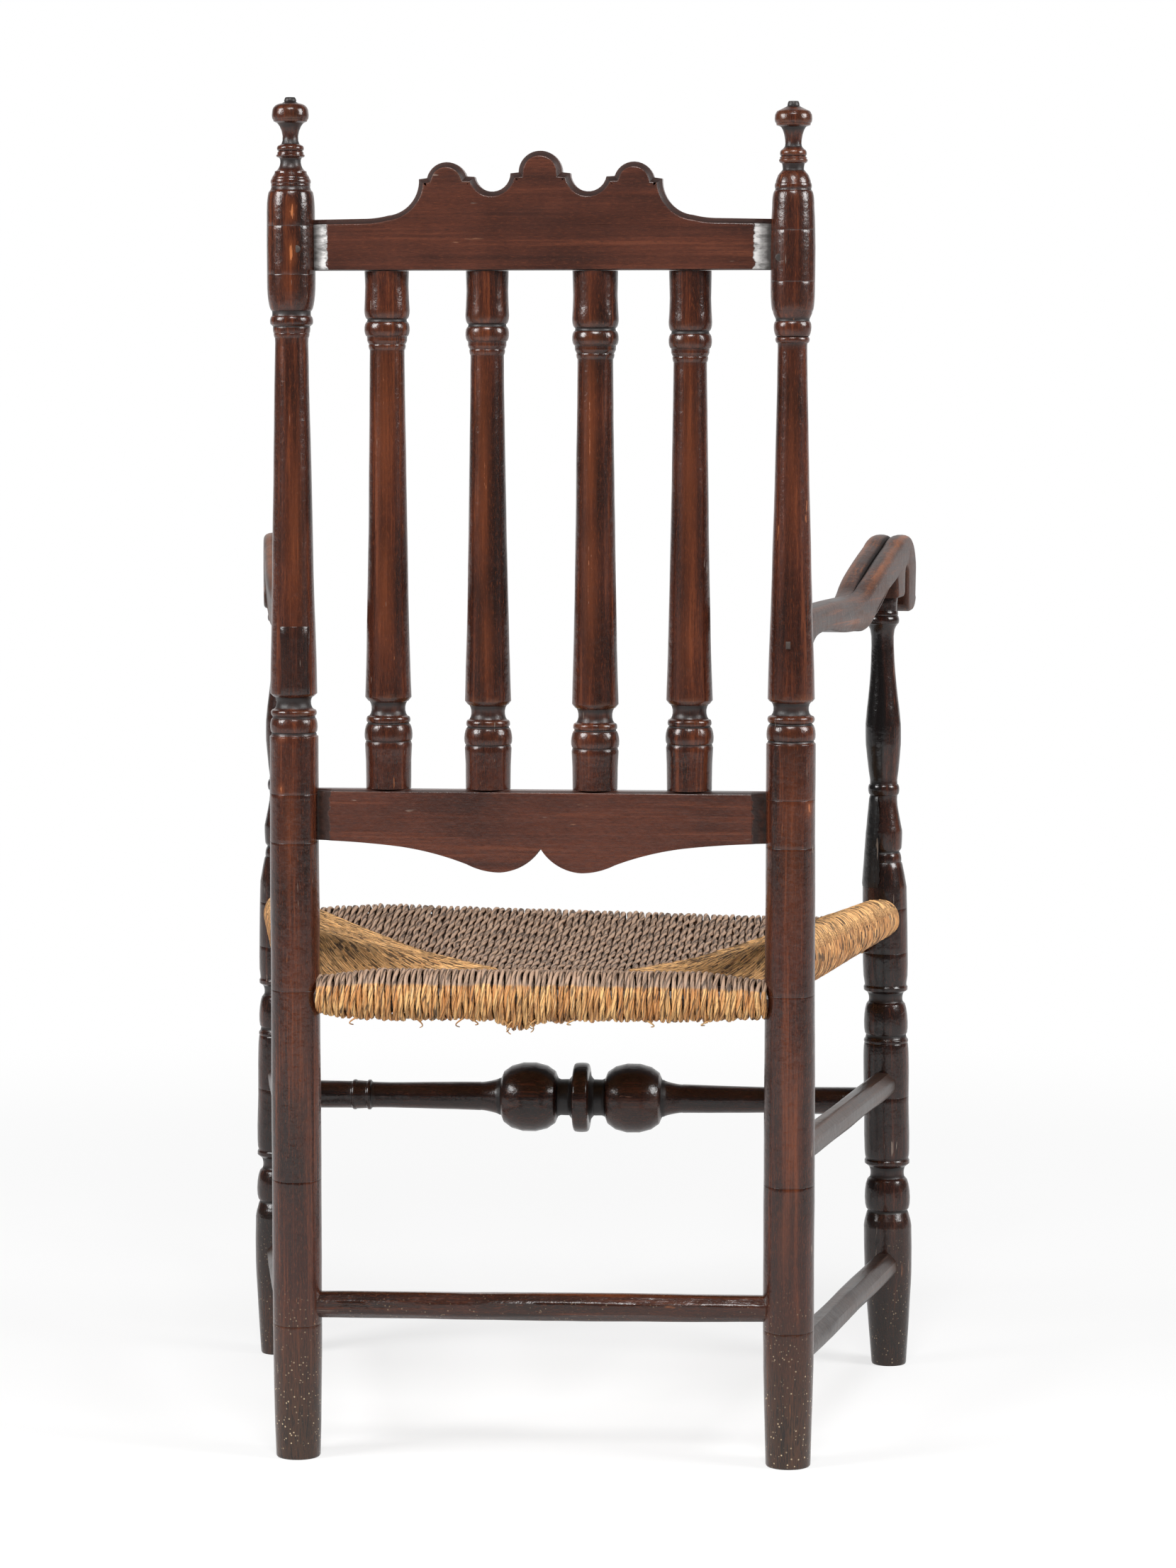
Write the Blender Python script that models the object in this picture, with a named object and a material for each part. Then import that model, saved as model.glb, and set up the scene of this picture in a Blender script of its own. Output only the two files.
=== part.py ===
"""Bannister back armchair, as separate joined pieces.

Metres, +Z up. The sitter faces -Y, so the sitter's left is +X.
"""

import math

import bmesh
import bpy
from mathutils import Vector

# Frame: post centres at the floor, and the slope by which the front posts lean inwards as they rise
REAR_POST_SPACING = 0.445
FRONT_POST_SPACING = 0.6116
SEAT_DEPTH = 0.425
FRONT_POST_SPLAY = math.radians(0.84)
FIT_GAP = 0.0003
CUT_OVERRUN = 0.008

# Rear posts: lengths of the turning's stretches, from the floor up
POST_RADIUS = 0.022
LEG_LENGTH = 0.6537
NECK_LENGTH = 0.0373
COLUMN_LENGTH = 0.3156
COLLAR_LENGTH = 0.0286
BARREL_LENGTH = 0.1111
FINIAL_LENGTH = 0.0752
COLUMN_FOOT_HEIGHT = LEG_LENGTH + NECK_LENGTH
BARREL_FOOT_HEIGHT = COLUMN_FOOT_HEIGHT + COLUMN_LENGTH + COLLAR_LENGTH

# Front posts: the same, up to the shoulder under the arm
FRONT_FOOT_LENGTH = 0.137
FRONT_VASE_LENGTH = 0.0661
FRONT_BARREL_LENGTH = 0.1175
FRONT_URN_LENGTH = 0.0564
SEAT_BLOCK_LENGTH = 0.099
ARM_SUPPORT_LENGTH = 0.2837
SEAT_BLOCK_FOOT_HEIGHT = FRONT_FOOT_LENGTH + FRONT_VASE_LENGTH + FRONT_BARREL_LENGTH + FRONT_URN_LENGTH
ARM_SHOULDER_HEIGHT = SEAT_BLOCK_FOOT_HEIGHT + SEAT_BLOCK_LENGTH + ARM_SUPPORT_LENGTH
ARM_TENON_RADIUS = 0.009
ARM_TENON_LENGTH = 0.025

# Crest rail and lower back rail
RAIL_THICKNESS = 0.022
RAIL_BACK_SETBACK = 0.012
CREST_ABOVE_BARREL_FOOT = 0.035
CREST_END_WIDTH = 0.0443
CREST_HUMP_RISE = 0.0603
CREST_FOOT_HEIGHT = BARREL_FOOT_HEIGHT + CREST_ABOVE_BARREL_FOOT
CREST_END_HEIGHT = CREST_FOOT_HEIGHT + CREST_END_WIDTH
CREST_BEVEL = 0.0047
LOWER_RAIL_ABOVE_SEAT_RAIL = 0.1875
LOWER_RAIL_END_WIDTH = 0.0456
LOWER_RAIL_DROP = 0.028
LOWER_RAIL_BEVEL = 0.0015
END_BEVEL_LENGTH = 0.0125
BEVEL_DEPTH = 0.007
RAIL_TENON_THICKNESS = 0.008
RAIL_TENON_MARGIN = 0.007
TENON_STOP = 0.004

# Banisters, from the sitter's left
BANISTER_PLACES = (0.1382, 0.0486, -0.0475, -0.1317)
BANISTER_HEAD_LENGTHS = (0.0432, 0.0476, 0.0512, 0.0539)
BANISTER_RADIUS = 0.0208
BANISTER_FLAT_SETBACK = 0.009
BANISTER_BLOCK_LENGTH = 0.037
BANISTER_BASE_LENGTH = 0.0431
BANISTER_NECK_LENGTH = 0.0265
BANISTER_TENON_WIDTH = 0.024
BANISTER_TENON_THICKNESS = 0.008
BANISTER_TENON_SETBACK = 0.002
BANISTER_TENON_DEPTH = 0.014

# Arms: their side outline runs from the rear post's axis to the scroll's front
ARM_LENGTH = 0.514
ARM_SCROLL_DROP = 0.0152
ARM_RISE = 0.075
ARM_SCROLL_FOOT_HEIGHT = ARM_SHOULDER_HEIGHT - ARM_SCROLL_DROP
ARM_REAR_WIDTH = 0.026
ARM_FRONT_WIDTH = 0.039
ARM_EDGE_ROUNDING = 0.004
ARM_NARROW_SHARE = 0.4
ARM_WIDENING_SHARE = 0.25
ARM_GROOVE_HALF_WIDTH = 0.0045
ARM_GROOVE_DEPTH = 0.005
ARM_GROOVE_FIRST_POINT = 7
ARM_GROOVE_LAST_POINT = 21
ARM_REAR_TENON_WIDTH = 0.01
ARM_REAR_TENON_HEIGHT = 0.016
ARM_REAR_TENON_DROP = 0.0075

# Stretchers
STRETCHER_SEAT = 0.005
STRETCHER_TENON_RADIUS = 0.009
FRONT_STRETCHER_HEIGHT = 0.262
FRONT_STRETCHER_RADIUS = 0.0138
FRONT_STRETCHER_BALL_RADIUS = 0.0345
FRONT_STRETCHER_TURNING_HALF = 0.2
REAR_STRETCHER_HEIGHTS = (0.1395, 0.1428)
REAR_STRETCHER_RADIUS = 0.0121
REAR_STRETCHER_MIDDLE_SHARE = 1.07
SIDE_UPPER_HEIGHTS = (0.281, 0.2815)
SIDE_UPPER_RADIUS = 0.0133
SIDE_LOWER_HEIGHTS = (0.0965, 0.1015)
SIDE_LOWER_RADIUS = 0.0135

# Seat: rails inside the rush, and the roll of rush over each of them
SEAT_RAIL_RADIUS = 0.013
SEAT_RAIL_REAR_HEIGHT = 0.4215
SEAT_RAIL_FRONT_HEIGHT = 0.4275
SEAT_RAIL_SIDE_HEIGHTS = (0.456, 0.4445)
RUSH_ROLL_REACH = 0.019
RUSH_REAR_ROLL_RISE = 0.0262
RUSH_REAR_ROLL_FALL = 0.0207
RUSH_FRONT_ROLL_RISES = (0.0285, 0.0155)
RUSH_FRONT_ROLL_FALL = 0.0195
RUSH_SIDE_ROLL_RISES = (0.028, 0.0235)
RUSH_SIDE_ROLL_FALLS = (0.027, 0.0158)
RUSH_REAR_END_RISE = 0.0163
RUSH_END_RISE = 0.019
RUSH_END_FALL = 0.0163
RUSH_DISH_DROP = 0.0015
RUSH_DISH_THICKNESS = 0.022
RUSH_RIDGE_HALF = 0.058
RUSH_CORNER_CUT_SHARE = 0.96
RUSH_FALL_POWER = 1.5
RUSH_END_SHARE = 0.17

# Pegs, pin and patch in the rear posts, and the strip in the right front one; the pegs from the sitter's left
PEG_RADIUS = 0.0034
PEG_LENGTH = 0.03
PEG_RISES = (0.0188, 0.0108)
PEG_INSETS = (0.0078, 0.0115)
PEG_SETBACKS = (0.0015, 0.0045)
PIN_WIDTH = 0.0065
PIN_THICKNESS = 0.004
PIN_LENGTH = 0.032
PIN_INSET = 0.002
PIN_ABOVE_TENON_FOOT = 0.004
PATCH_WIDTH = 0.026
PATCH_DEPTH = 0.01
PATCH_INSET = 0.0035
PATCH_LENGTH = 0.0605
PATCH_ABOVE_COLUMN_FOOT = 0.0035
STRIP_LENGTH = 0.09
STRIP_INSET = 0.005
STRIP_FORWARD_REACH = 0.008

POST_SIDES = 12
BAR_SIDES = 12
BAR_FIRST_EDGE_SHARE = 0.5
BANISTER_SIDES = 7
ARC_STEPS = 4
PEG_SIDES = 8
RUSH_SIDE_POINTS = 9
RUSH_ROLL_STEPS = 7
RUSH_TOP_STEPS = 5
RING_STEPS = 2
CURVE_STEPS = 3
SMOOTH_ANGLE = math.radians(40)

# Turned members, listed upwards: kind, share of the stretch's height, share of the radius at the member's
# end, and for a bead, a ring or a cove how far its middle swells or sinks, as a share of the radius.
REAR_FOOT_SHARE = 0.91
LEG_SHARES = (("straight", 0.15, 1.0, 0), ("straight", 0.85, 1.0, 0))
POST_NECK_SHARES = (
    ("straight", 0.06, 0.91, 0),
    ("bead", 0.4, 0.86, 0.09),
    ("ring", 0.17, 0.86, 0.09),
    ("cove", 0.31, 0.86, -0.15),
    ("straight", 0.06, 0.955, 0),
)
LEFT_COLUMN_SHARES = (("straight", 0.33, 0.845, 0), ("straight", 0.33, 0.765, 0), ("straight", 0.34, 0.665, 0))
LEFT_COLLAR_SHARES = (
    ("straight", 0.26, 0.73, 0),
    ("straight", 0.26, 0.745, 0),
    ("bead", 0.36, 0.775, 0.09),
    ("straight", 0.12, 0.785, 0),
)
LEFT_BARREL_SHARES = (
    ("out", 0.22, 0.97, 0),
    ("straight", 0.56, 0.97, 0),
    ("in", 0.17, 0.87, 0),
    ("straight", 0.05, 0.78, 0),
)
LEFT_FINIAL_SHARES = (
    ("ring", 0.073, 0.74, 0.03),
    ("in", 0.085, 0.62, 0),
    ("cove", 0.166, 0.51, -0.15),
    ("ring", 0.055, 0.48, 0.045),
    ("ring", 0.055, 0.43, 0.055),
    ("cove", 0.255, 0.6, -0.19),
    ("out", 0.1, 0.745, 0),
    ("in", 0.15, 0.2, 0),
    ("straight", 0.061, 0.16, 0),
)
RIGHT_COLUMN_SHARES = (("straight", 0.33, 0.8, 0), ("straight", 0.33, 0.68, 0), ("straight", 0.34, 0.6, 0))
RIGHT_COLLAR_SHARES = (
    ("ring", 0.2, 0.63, 0.06),
    ("bead", 0.48, 0.67, 0.1),
    ("straight", 0.06, 0.67, 0),
    ("straight", 0.26, 0.79, 0),
)
RIGHT_BARREL_SHARES = (
    ("out", 0.22, 0.9, 0),
    ("straight", 0.53, 0.87, 0),
    ("in", 0.25, 0.72, 0),
)
RIGHT_FINIAL_SHARES = (
    ("in", 0.13, 0.64, 0),
    ("cove", 0.16, 0.48, -0.13),
    ("ring", 0.05, 0.48, 0.08),
    ("ring", 0.06, 0.4, 0.08),
    ("cove", 0.25, 0.6, -0.15),
    ("out", 0.1, 0.75, 0),
    ("in", 0.15, 0.22, 0),
    ("straight", 0.06, 0.2, 0),
)
FRONT_FOOT_SHARE = 0.81
FRONT_FOOT_SHARES = (("straight", 0.38, 0.95, 0), ("straight", 0.4, 1.06, 0), ("straight", 0.22, 1.07, 0))
FRONT_VASE_SHARES = (
    ("in", 0.25, 0.9, 0),
    ("bead", 0.51, 0.79, 0.16),
    ("cove", 0.19, 0.86, -0.07),
    ("straight", 0.05, 1.01, 0),
)
FRONT_BARREL_SHARES = (
    ("straight", 0.045, 0.97, 0),
    ("out", 0.12, 1.02, 0),
    ("straight", 0.69, 1.015, 0),
    ("in", 0.145, 0.97, 0),
)
FRONT_URN_SHARES = (
    ("in", 0.15, 0.9, 0),
    ("bead", 0.58, 0.78, 0.135),
    ("cove", 0.19, 0.85, -0.06),
    ("straight", 0.08, 0.99, 0),
)
SEAT_BLOCK_SHARES = (("straight", 0.04, 0.94, 0), ("straight", 0.16, 1.0, 0), ("straight", 0.8, 0.98, 0))
ARM_SUPPORT_SHARES = (
    ("straight", 0.05, 0.865, 0),
    ("straight", 0.03, 0.79, 0),
    ("straight", 0.007, 0.72, 0),
    ("ring", 0.03, 0.69, 0.04),
    ("straight", 0.005, 0.655, 0),
    ("straight", 0.01, 0.764, 0),
    ("bead", 0.065, 0.8, 0.018),
    ("cove", 0.093, 0.595, -0.015),
    ("straight", 0.028, 0.6, 0),
    ("ring", 0.035, 0.61, 0.09),
    ("straight", 0.017, 0.6, 0),
    ("bead", 0.159, 0.786, 0.027),
    ("bead", 0.106, 0.691, 0.027),
    ("cove", 0.211, 0.495, -0.039),
    ("cove", 0.044, 0.54, -0.01),
    ("straight", 0.02, 0.7, 0),
    ("ring", 0.03, 0.68, 0.07),
    ("ring", 0.02, 0.66, 0.04),
    ("straight", 0.04, 0.7, 0),
)
STRIP_FOOT_SHARE = 1.01
STRIP_SHARES = (("straight", 0.28, 0.9, 0), ("straight", 0.32, 0.82, 0), ("straight", 0.4, 0.65, 0))
BANISTER_BASE_SHARES = (
    ("straight", 0.07, 0.955, 0),
    ("bead", 0.37, 0.9, 0.1),
    ("ring", 0.14, 0.9, 0.06),
    ("cove", 0.36, 0.9, -0.17),
    ("straight", 0.06, 1.005, 0),
)
BANISTER_COLUMN_SHARES = (
    ("straight", 0.33, 0.885, 0),
    ("straight", 0.33, 0.81, 0),
    ("straight", 0.34, 0.74, 0),
)
BANISTER_NECK_SHARES = (
    ("straight", 0.17, 0.79, 0),
    ("straight", 0.28, 0.86, 0),
    ("bead", 0.5, 0.86, 0.115),
    ("straight", 0.05, 0.845, 0),
)
BANISTER_HEAD_SHARES = (("out", 0.17, 0.975, 0), ("straight", 0.4, 0.935, 0), ("straight", 0.43, 0.955, 0))
# Half of the front stretcher, from the disc at its centre to its end ring
STRETCHER_TURNING_SHARES = (
    ("straight", 0.023, 1.0, 0),
    ("in", 0.012, 0.84, 0),
    ("straight", 0.005, 0.56, 0),
    ("straight", 0.06, 0.53, 0),
    ("bead", 0.3, 0.5, 0.49),
    ("in", 0.1, 0.42, 0),
    ("straight", 0.45, 0.365, 0),
    ("straight", 0.05, 0.37, 0),
)

# Outlines of the rails' halves, from the middle to the post: share of the half span, share of the
# rise above the rail's end, and the bulge of the arc that leads there, positive outwards.
CREST_SHARES = (
    (0.0, 1.0, 0),
    (0.087, 0.685, 0.414),
    (0.119, 0.672, 0),
    (0.263, 0.63, -0.9),
    (0.296, 0.64, 0),
    (0.451, 0.605, 0.76),
    (0.484, 0.589, 0),
    (0.607, 0.066, -0.4),
    (0.7, 0.02, -0.06),
    (1.0, 0.0, 0),
)
LOWER_RAIL_SHARES = (
    (0.0, 0.236, 0),
    (0.162, 1.0, 0.24),
    (0.297, 0.745, 0.12),
    (0.575, 0.185, -0.06),
    (1.0, 0.0, -0.03),
)
# An arm seen from its side: shares of its length and of its rise above the scroll's foot
ARM_OUTLINE_SHARES = (
    (0.02, 0.335, 0),
    (0.455, 0.345, 0.01),
    (0.585, 0.47, -0.12),
    (0.83, 0.9, 0.02),
    (0.93, 1.0, 0.1),
    (1.0, 0.56, 0.36),
    (0.995, 0.17, 0),
    (0.95, 0.0, 0.34),
    (0.91, 0.09, 0.3),
    (0.911, 0.5, 0),
    (0.88, 0.5, -0.9),
    (0.878, 0.27, 0),
    (0.868, 0.207, 0.2),
    (0.806, 0.207, 0),
    (0.8, 0.46, 0),
    (0.71, 0.34, 0),
    (0.585, 0.045, 0),
    (0.47, -0.08, 0.16),
    (0.26, 0.01, 0.03),
    (0.11, 0.0, -0.05),
    (0.02, -0.28, -0.16),
)

WOOD_COLOUR = (0.085, 0.035, 0.022, 1)
DARK_WOOD_COLOUR = (0.035, 0.02, 0.016, 1)
RUSH_COLOUR = (0.45, 0.28, 0.13, 1)
PEG_COLOUR = (0.05, 0.035, 0.028, 1)

HALF_SPAN = REAR_POST_SPACING / 2
LOWER_RAIL_TOP_HEIGHT = SEAT_RAIL_REAR_HEIGHT + LOWER_RAIL_ABOVE_SEAT_RAIL


def clear_scene():
    for obj in list(bpy.data.objects):
        bpy.data.objects.remove(obj)


def principled(name, colour, roughness):
    material = bpy.data.materials.new(name)
    material.use_nodes = True
    shader = material.node_tree.nodes["Principled BSDF"]
    shader.inputs["Base Color"].default_value = colour
    shader.inputs["Roughness"].default_value = roughness
    shader.inputs["Metallic"].default_value = 0
    material.diffuse_color = colour
    return material


def add_object(name, bm, material):
    bmesh.ops.recalc_face_normals(bm, faces=bm.faces)
    mesh = bpy.data.meshes.new(name)
    bm.to_mesh(mesh)
    bm.free()
    mesh.shade_smooth()
    mesh.set_sharp_from_angle(angle=SMOOTH_ANGLE)
    if material:
        mesh.materials.append(material)
    obj = bpy.data.objects.new(name, mesh)
    bpy.context.scene.collection.objects.link(obj)
    return obj


def as_tool(obj):
    """A cutter or a shape to join: left out of the part itself."""
    obj.hide_render = True
    obj.display_type = "WIRE"
    return obj


def boolean(obj, tool, operation):
    modifier = obj.modifiers.new(tool.name, "BOOLEAN")
    modifier.operation = operation
    modifier.solver = "EXACT"
    modifier.object = tool


def cut(obj, tool):
    boolean(obj, tool, "DIFFERENCE")


def join(obj, tool):
    boolean(obj, tool, "UNION")


# Turning


def member_points(kind, height, end_height, radius, end_radius, swell):
    """(height, radius) of the points after the member's start."""
    steps = {"straight": 1, "ring": RING_STEPS}.get(kind, CURVE_STEPS)
    points = []
    for step in range(1, steps + 1):
        share = step / steps
        along = share
        grown = share
        offset = 0
        if kind in ("bead", "ring", "cove"):
            along = (1 - math.cos(math.pi * share)) / 2
            grown = along
            offset = swell * math.sin(math.pi * share)
        elif kind == "out":
            along = 1 - math.cos(math.pi / 2 * share)
            grown = math.sin(math.pi / 2 * share)
        elif kind == "in":
            along = math.sin(math.pi / 2 * share)
            grown = 1 - math.cos(math.pi / 2 * share)
        points.append(
            (
                height + (end_height - height) * along,
                radius + (end_radius - radius) * grown + offset,
            )
        )
    return points


def turned_stretch(points, length, radius, shares):
    """Adds a stretch of members of that length to points."""
    start = points[-1][0]
    total = sum(member[1] for member in shares)
    done = 0
    for kind, height_share, radius_share, swell_share in shares:
        height, last_radius = points[-1]
        done += height_share
        top = start + length * done / total
        points += member_points(kind, height, top, last_radius, radius * radius_share, radius * swell_share)


def turned_bmesh(points, sides, lean=0, half=False, first=0):
    """A closed solid turned round the Z axis, or its half at +Y.

    Lean moves it along X as it rises. First is where its first side edge lies, as a share of a side.
    """
    bm = bmesh.new()
    turn = math.pi if half else 2 * math.pi
    count = sides + 1 if half else sides
    rings = []
    for height, radius in points:
        ring = []
        for index in range(count):
            angle = turn * (first + index) / sides
            place = (radius * math.cos(angle) + lean * height, radius * math.sin(angle), height)
            ring.append(bm.verts.new(place))
        rings.append(ring)
    for lower, upper in zip(rings, rings[1:]):
        for index in range(count):
            after = (index + 1) % count
            bm.faces.new((lower[index], lower[after], upper[after], upper[index]))
    bm.faces.new(reversed(rings[0]))
    bm.faces.new(rings[-1])
    return bm


def with_gap(points):
    """The same turning, larger by the fit gap all round."""
    wider = [(height, radius + FIT_GAP) for height, radius in points]
    wider[0] = (points[0][0] - FIT_GAP, wider[0][1])
    wider[-1] = (points[-1][0] + FIT_GAP, wider[-1][1])
    return wider


# Posts


def rear_post_points(column_shares, collar_shares, barrel_shares, finial_shares):
    points = [(0, POST_RADIUS * REAR_FOOT_SHARE)]
    turned_stretch(points, LEG_LENGTH, POST_RADIUS, LEG_SHARES)
    turned_stretch(points, NECK_LENGTH, POST_RADIUS, POST_NECK_SHARES)
    turned_stretch(points, COLUMN_LENGTH, POST_RADIUS, column_shares)
    turned_stretch(points, COLLAR_LENGTH, POST_RADIUS, collar_shares)
    turned_stretch(points, BARREL_LENGTH, POST_RADIUS, barrel_shares)
    turned_stretch(points, FINIAL_LENGTH, POST_RADIUS, finial_shares)
    return points


def front_post_points():
    points = [(0, POST_RADIUS * FRONT_FOOT_SHARE)]
    turned_stretch(points, FRONT_FOOT_LENGTH, POST_RADIUS, FRONT_FOOT_SHARES)
    turned_stretch(points, FRONT_VASE_LENGTH, POST_RADIUS, FRONT_VASE_SHARES)
    turned_stretch(points, FRONT_BARREL_LENGTH, POST_RADIUS, FRONT_BARREL_SHARES)
    turned_stretch(points, FRONT_URN_LENGTH, POST_RADIUS, FRONT_URN_SHARES)
    turned_stretch(points, SEAT_BLOCK_LENGTH, POST_RADIUS, SEAT_BLOCK_SHARES)
    turned_stretch(points, ARM_SUPPORT_LENGTH, POST_RADIUS, ARM_SUPPORT_SHARES)
    points.append((ARM_SHOULDER_HEIGHT, ARM_TENON_RADIUS))
    points.append((ARM_SHOULDER_HEIGHT + ARM_TENON_LENGTH, ARM_TENON_RADIUS))
    return points


def make_post(name, points, x, y, lean, material):
    """A post and the tool that clears room for it in its neighbours."""
    post = add_object(name, turned_bmesh(points, POST_SIDES, lean), material)
    post.location = (x, y, 0)
    tool = as_tool(add_object("room_for_" + name, turned_bmesh(with_gap(points), POST_SIDES, lean), None))
    tool.location = (x, y, 0)
    return post, tool


def front_post_x(side, height):
    return side * (FRONT_POST_SPACING / 2 - math.tan(FRONT_POST_SPLAY) * height)


def rear_axis(side, height):
    return Vector((side * HALF_SPAN, REAR_Y, height))


def front_axis(side, height):
    return Vector((front_post_x(side, height), FRONT_Y, height))


# Shaped boards


def arc_points(start, end, bulge, steps):
    """Points of an arc from start to end, without start. Bulge is the tangent of a quarter of its angle."""
    if not bulge:
        return [end]
    chord = end - start
    middle = (start + end) / 2
    across = Vector((-chord.y, chord.x))
    centre = middle + across * (bulge * bulge - 1) / (4 * bulge)
    sweep = -4 * math.atan(bulge)
    arm = start - centre
    points = []
    for step in range(1, steps + 1):
        angle = sweep * step / steps
        turned = Vector(
            (
                arm.x * math.cos(angle) - arm.y * math.sin(angle),
                arm.x * math.sin(angle) + arm.y * math.cos(angle),
            )
        )
        points.append(centre + turned)
    points[-1] = end
    return points


def outline(corners, steps):
    """Points along corners given as (point, bulge of the arc that leads to it)."""
    points = [corners[0][0]]
    for point, bulge in corners[1:]:
        points += arc_points(points[-1], point, bulge, steps)
    return points


def half_rail(shares, base_height, rise):
    """One edge of a rail from its middle to the sitter's left post's axis."""
    corners = [(Vector((HALF_SPAN * x, base_height + rise * z)), bulge) for x, z, bulge in shares]
    return outline(corners, ARC_STEPS)


def mirrored(points):
    return [Vector((-point.x, point.y)) for point in reversed(points[1:])] + points


def moved_edges(points, distance, closed):
    """The outline after each of its edges has moved to its right by distance."""
    moved = []
    last = len(points) - 1
    for index, point in enumerate(points):
        before = points[index - 1]
        after = points[(index + 1) % len(points)]
        if not closed and index == 0:
            before = point * 2 - after
        if not closed and index == last:
            after = point * 2 - before
        first = (point - before).normalized()
        second = (after - point).normalized()
        across = Vector((first.y + second.y, -first.x - second.x))
        moved.append(point + across * distance / (1 + first.dot(second)))
    return moved


def board_bmesh(layers):
    """A solid through outlines of equal count, each with its own Y. Outlines hold (x, z)."""
    bm = bmesh.new()
    rings = []
    for points, y in layers:
        rings.append([bm.verts.new((point.x, y, point.y)) for point in points])
    count = len(rings[0])
    for first, second in zip(rings, rings[1:]):
        for index in range(count):
            after = (index + 1) % count
            bm.faces.new((first[index], first[after], second[after], second[index]))
    bm.faces.new(rings[0])
    bm.faces.new(reversed(rings[-1]))
    return bm


def box_bmesh(low, high):
    places = ((low[0], low[2]), (high[0], low[2]), (high[0], high[2]), (low[0], high[2]))
    corners = [Vector(place) for place in places]
    return board_bmesh(((corners, low[1]), (corners, high[1])))


def box_tool(name, low, high):
    """A box between two corners."""
    return as_tool(add_object(name, box_bmesh(low, high), None))


def back_rail(name, top, bottom, bevel, material):
    """A rail between the rear posts, with a bevel round the back of its top edge and at its ends."""
    back_y = REAR_Y + RAIL_BACK_SETBACK
    front_y = back_y - RAIL_THICKNESS
    end_x = HALF_SPAN - POST_RADIUS - END_BEVEL_LENGTH
    front = top + list(reversed(bottom))
    back = moved_edges(top, bevel, False) + list(reversed(bottom))
    back = [Vector((max(-end_x, min(end_x, point.x)), point.y)) for point in back]
    layers = ((front, front_y), (front, back_y - BEVEL_DEPTH), (back, back_y))
    return add_object(name, board_bmesh(layers), material)


def rail_tenons(rail, posts, foot_height, top_height):
    """Tenons at a back rail's ends and their mortises."""
    for side, (post, room) in posts.items():
        cut(rail, room)
        inner = side * (HALF_SPAN - TENON_STOP)
        outer = side * (HALF_SPAN - POST_RADIUS - END_BEVEL_LENGTH)
        half = RAIL_TENON_THICKNESS / 2
        low_x, high_x = sorted((inner, outer))
        low = Vector((low_x, REAR_Y - half, foot_height + RAIL_TENON_MARGIN))
        high = Vector((high_x, REAR_Y + half, top_height - RAIL_TENON_MARGIN))
        join(rail, box_tool(f"tenon_{rail.name}_{post.name}", low, high))
        gap = Vector((FIT_GAP, FIT_GAP, FIT_GAP))
        cut(post, box_tool(f"mortise_{rail.name}_{post.name}", low - gap, high + gap))


def make_crest(posts, material):
    top = mirrored(half_rail(CREST_SHARES, CREST_END_HEIGHT, CREST_HUMP_RISE))
    bottom = [Vector((point.x, CREST_FOOT_HEIGHT)) for point in (top[0], top[-1])]
    bottom.insert(1, Vector((0, CREST_FOOT_HEIGHT)))
    rail = back_rail("crest_rail", top, bottom, CREST_BEVEL, material)
    rail_tenons(rail, posts, CREST_FOOT_HEIGHT, CREST_END_HEIGHT)
    return rail


def make_lower_rail(posts, material):
    end_height = LOWER_RAIL_TOP_HEIGHT - LOWER_RAIL_END_WIDTH
    bottom = mirrored(half_rail(flipped(LOWER_RAIL_SHARES), end_height, -LOWER_RAIL_DROP))
    top = [Vector((x, LOWER_RAIL_TOP_HEIGHT)) for x in (-HALF_SPAN, 0, HALF_SPAN)]
    rail = back_rail("lower_back_rail", top, bottom, LOWER_RAIL_BEVEL, material)
    rail_tenons(rail, posts, end_height, LOWER_RAIL_TOP_HEIGHT)
    return rail


def flipped(shares):
    """The same outline for an edge that hangs down: its arcs bulge the other way."""
    return [(x, z, -bulge) for x, z, bulge in shares]


# Banisters


def make_banister(number, x, head, rails, material):
    crest, lower = rails
    foot = LOWER_RAIL_TOP_HEIGHT + FIT_GAP
    top = CREST_FOOT_HEIGHT - FIT_GAP
    points = [(foot, BANISTER_RADIUS), (foot + BANISTER_BLOCK_LENGTH, BANISTER_RADIUS)]
    turned_stretch(points, BANISTER_BASE_LENGTH, BANISTER_RADIUS, BANISTER_BASE_SHARES)
    column = top - head - BANISTER_NECK_LENGTH - points[-1][0]
    turned_stretch(points, column, BANISTER_RADIUS, BANISTER_COLUMN_SHARES)
    turned_stretch(points, BANISTER_NECK_LENGTH, BANISTER_RADIUS, BANISTER_NECK_SHARES)
    turned_stretch(points, head, BANISTER_RADIUS, BANISTER_HEAD_SHARES)
    name = f"banister_{number}"
    banister = add_object(name, turned_bmesh(points, BANISTER_SIDES, half=True), material)
    flat_y = REAR_Y - BANISTER_FLAT_SETBACK
    banister.location = (x, flat_y, 0)
    half = BANISTER_TENON_WIDTH / 2
    near = flat_y + BANISTER_TENON_SETBACK
    far = near + BANISTER_TENON_THICKNESS
    gap = Vector((FIT_GAP, FIT_GAP, FIT_GAP))
    for rail, end, inner in (
        (crest, top + BANISTER_TENON_DEPTH, top - BANISTER_TENON_DEPTH),
        (lower, foot - BANISTER_TENON_DEPTH, foot + BANISTER_TENON_DEPTH),
    ):
        low_z, high_z = sorted((end, inner))
        low = Vector((x - half, near, low_z))
        high = Vector((x + half, far, high_z))
        join(banister, box_tool(f"tenon_{name}_{rail.name}", low, high))
        cut(rail, box_tool(f"mortise_{name}_{rail.name}", low - gap, high + gap))
    return banister


# Bars between posts


def place_along(obj, start, end):
    obj.location = start
    obj.rotation_mode = "QUATERNION"
    obj.rotation_quaternion = (end - start).to_track_quat("Z", "X")


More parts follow.
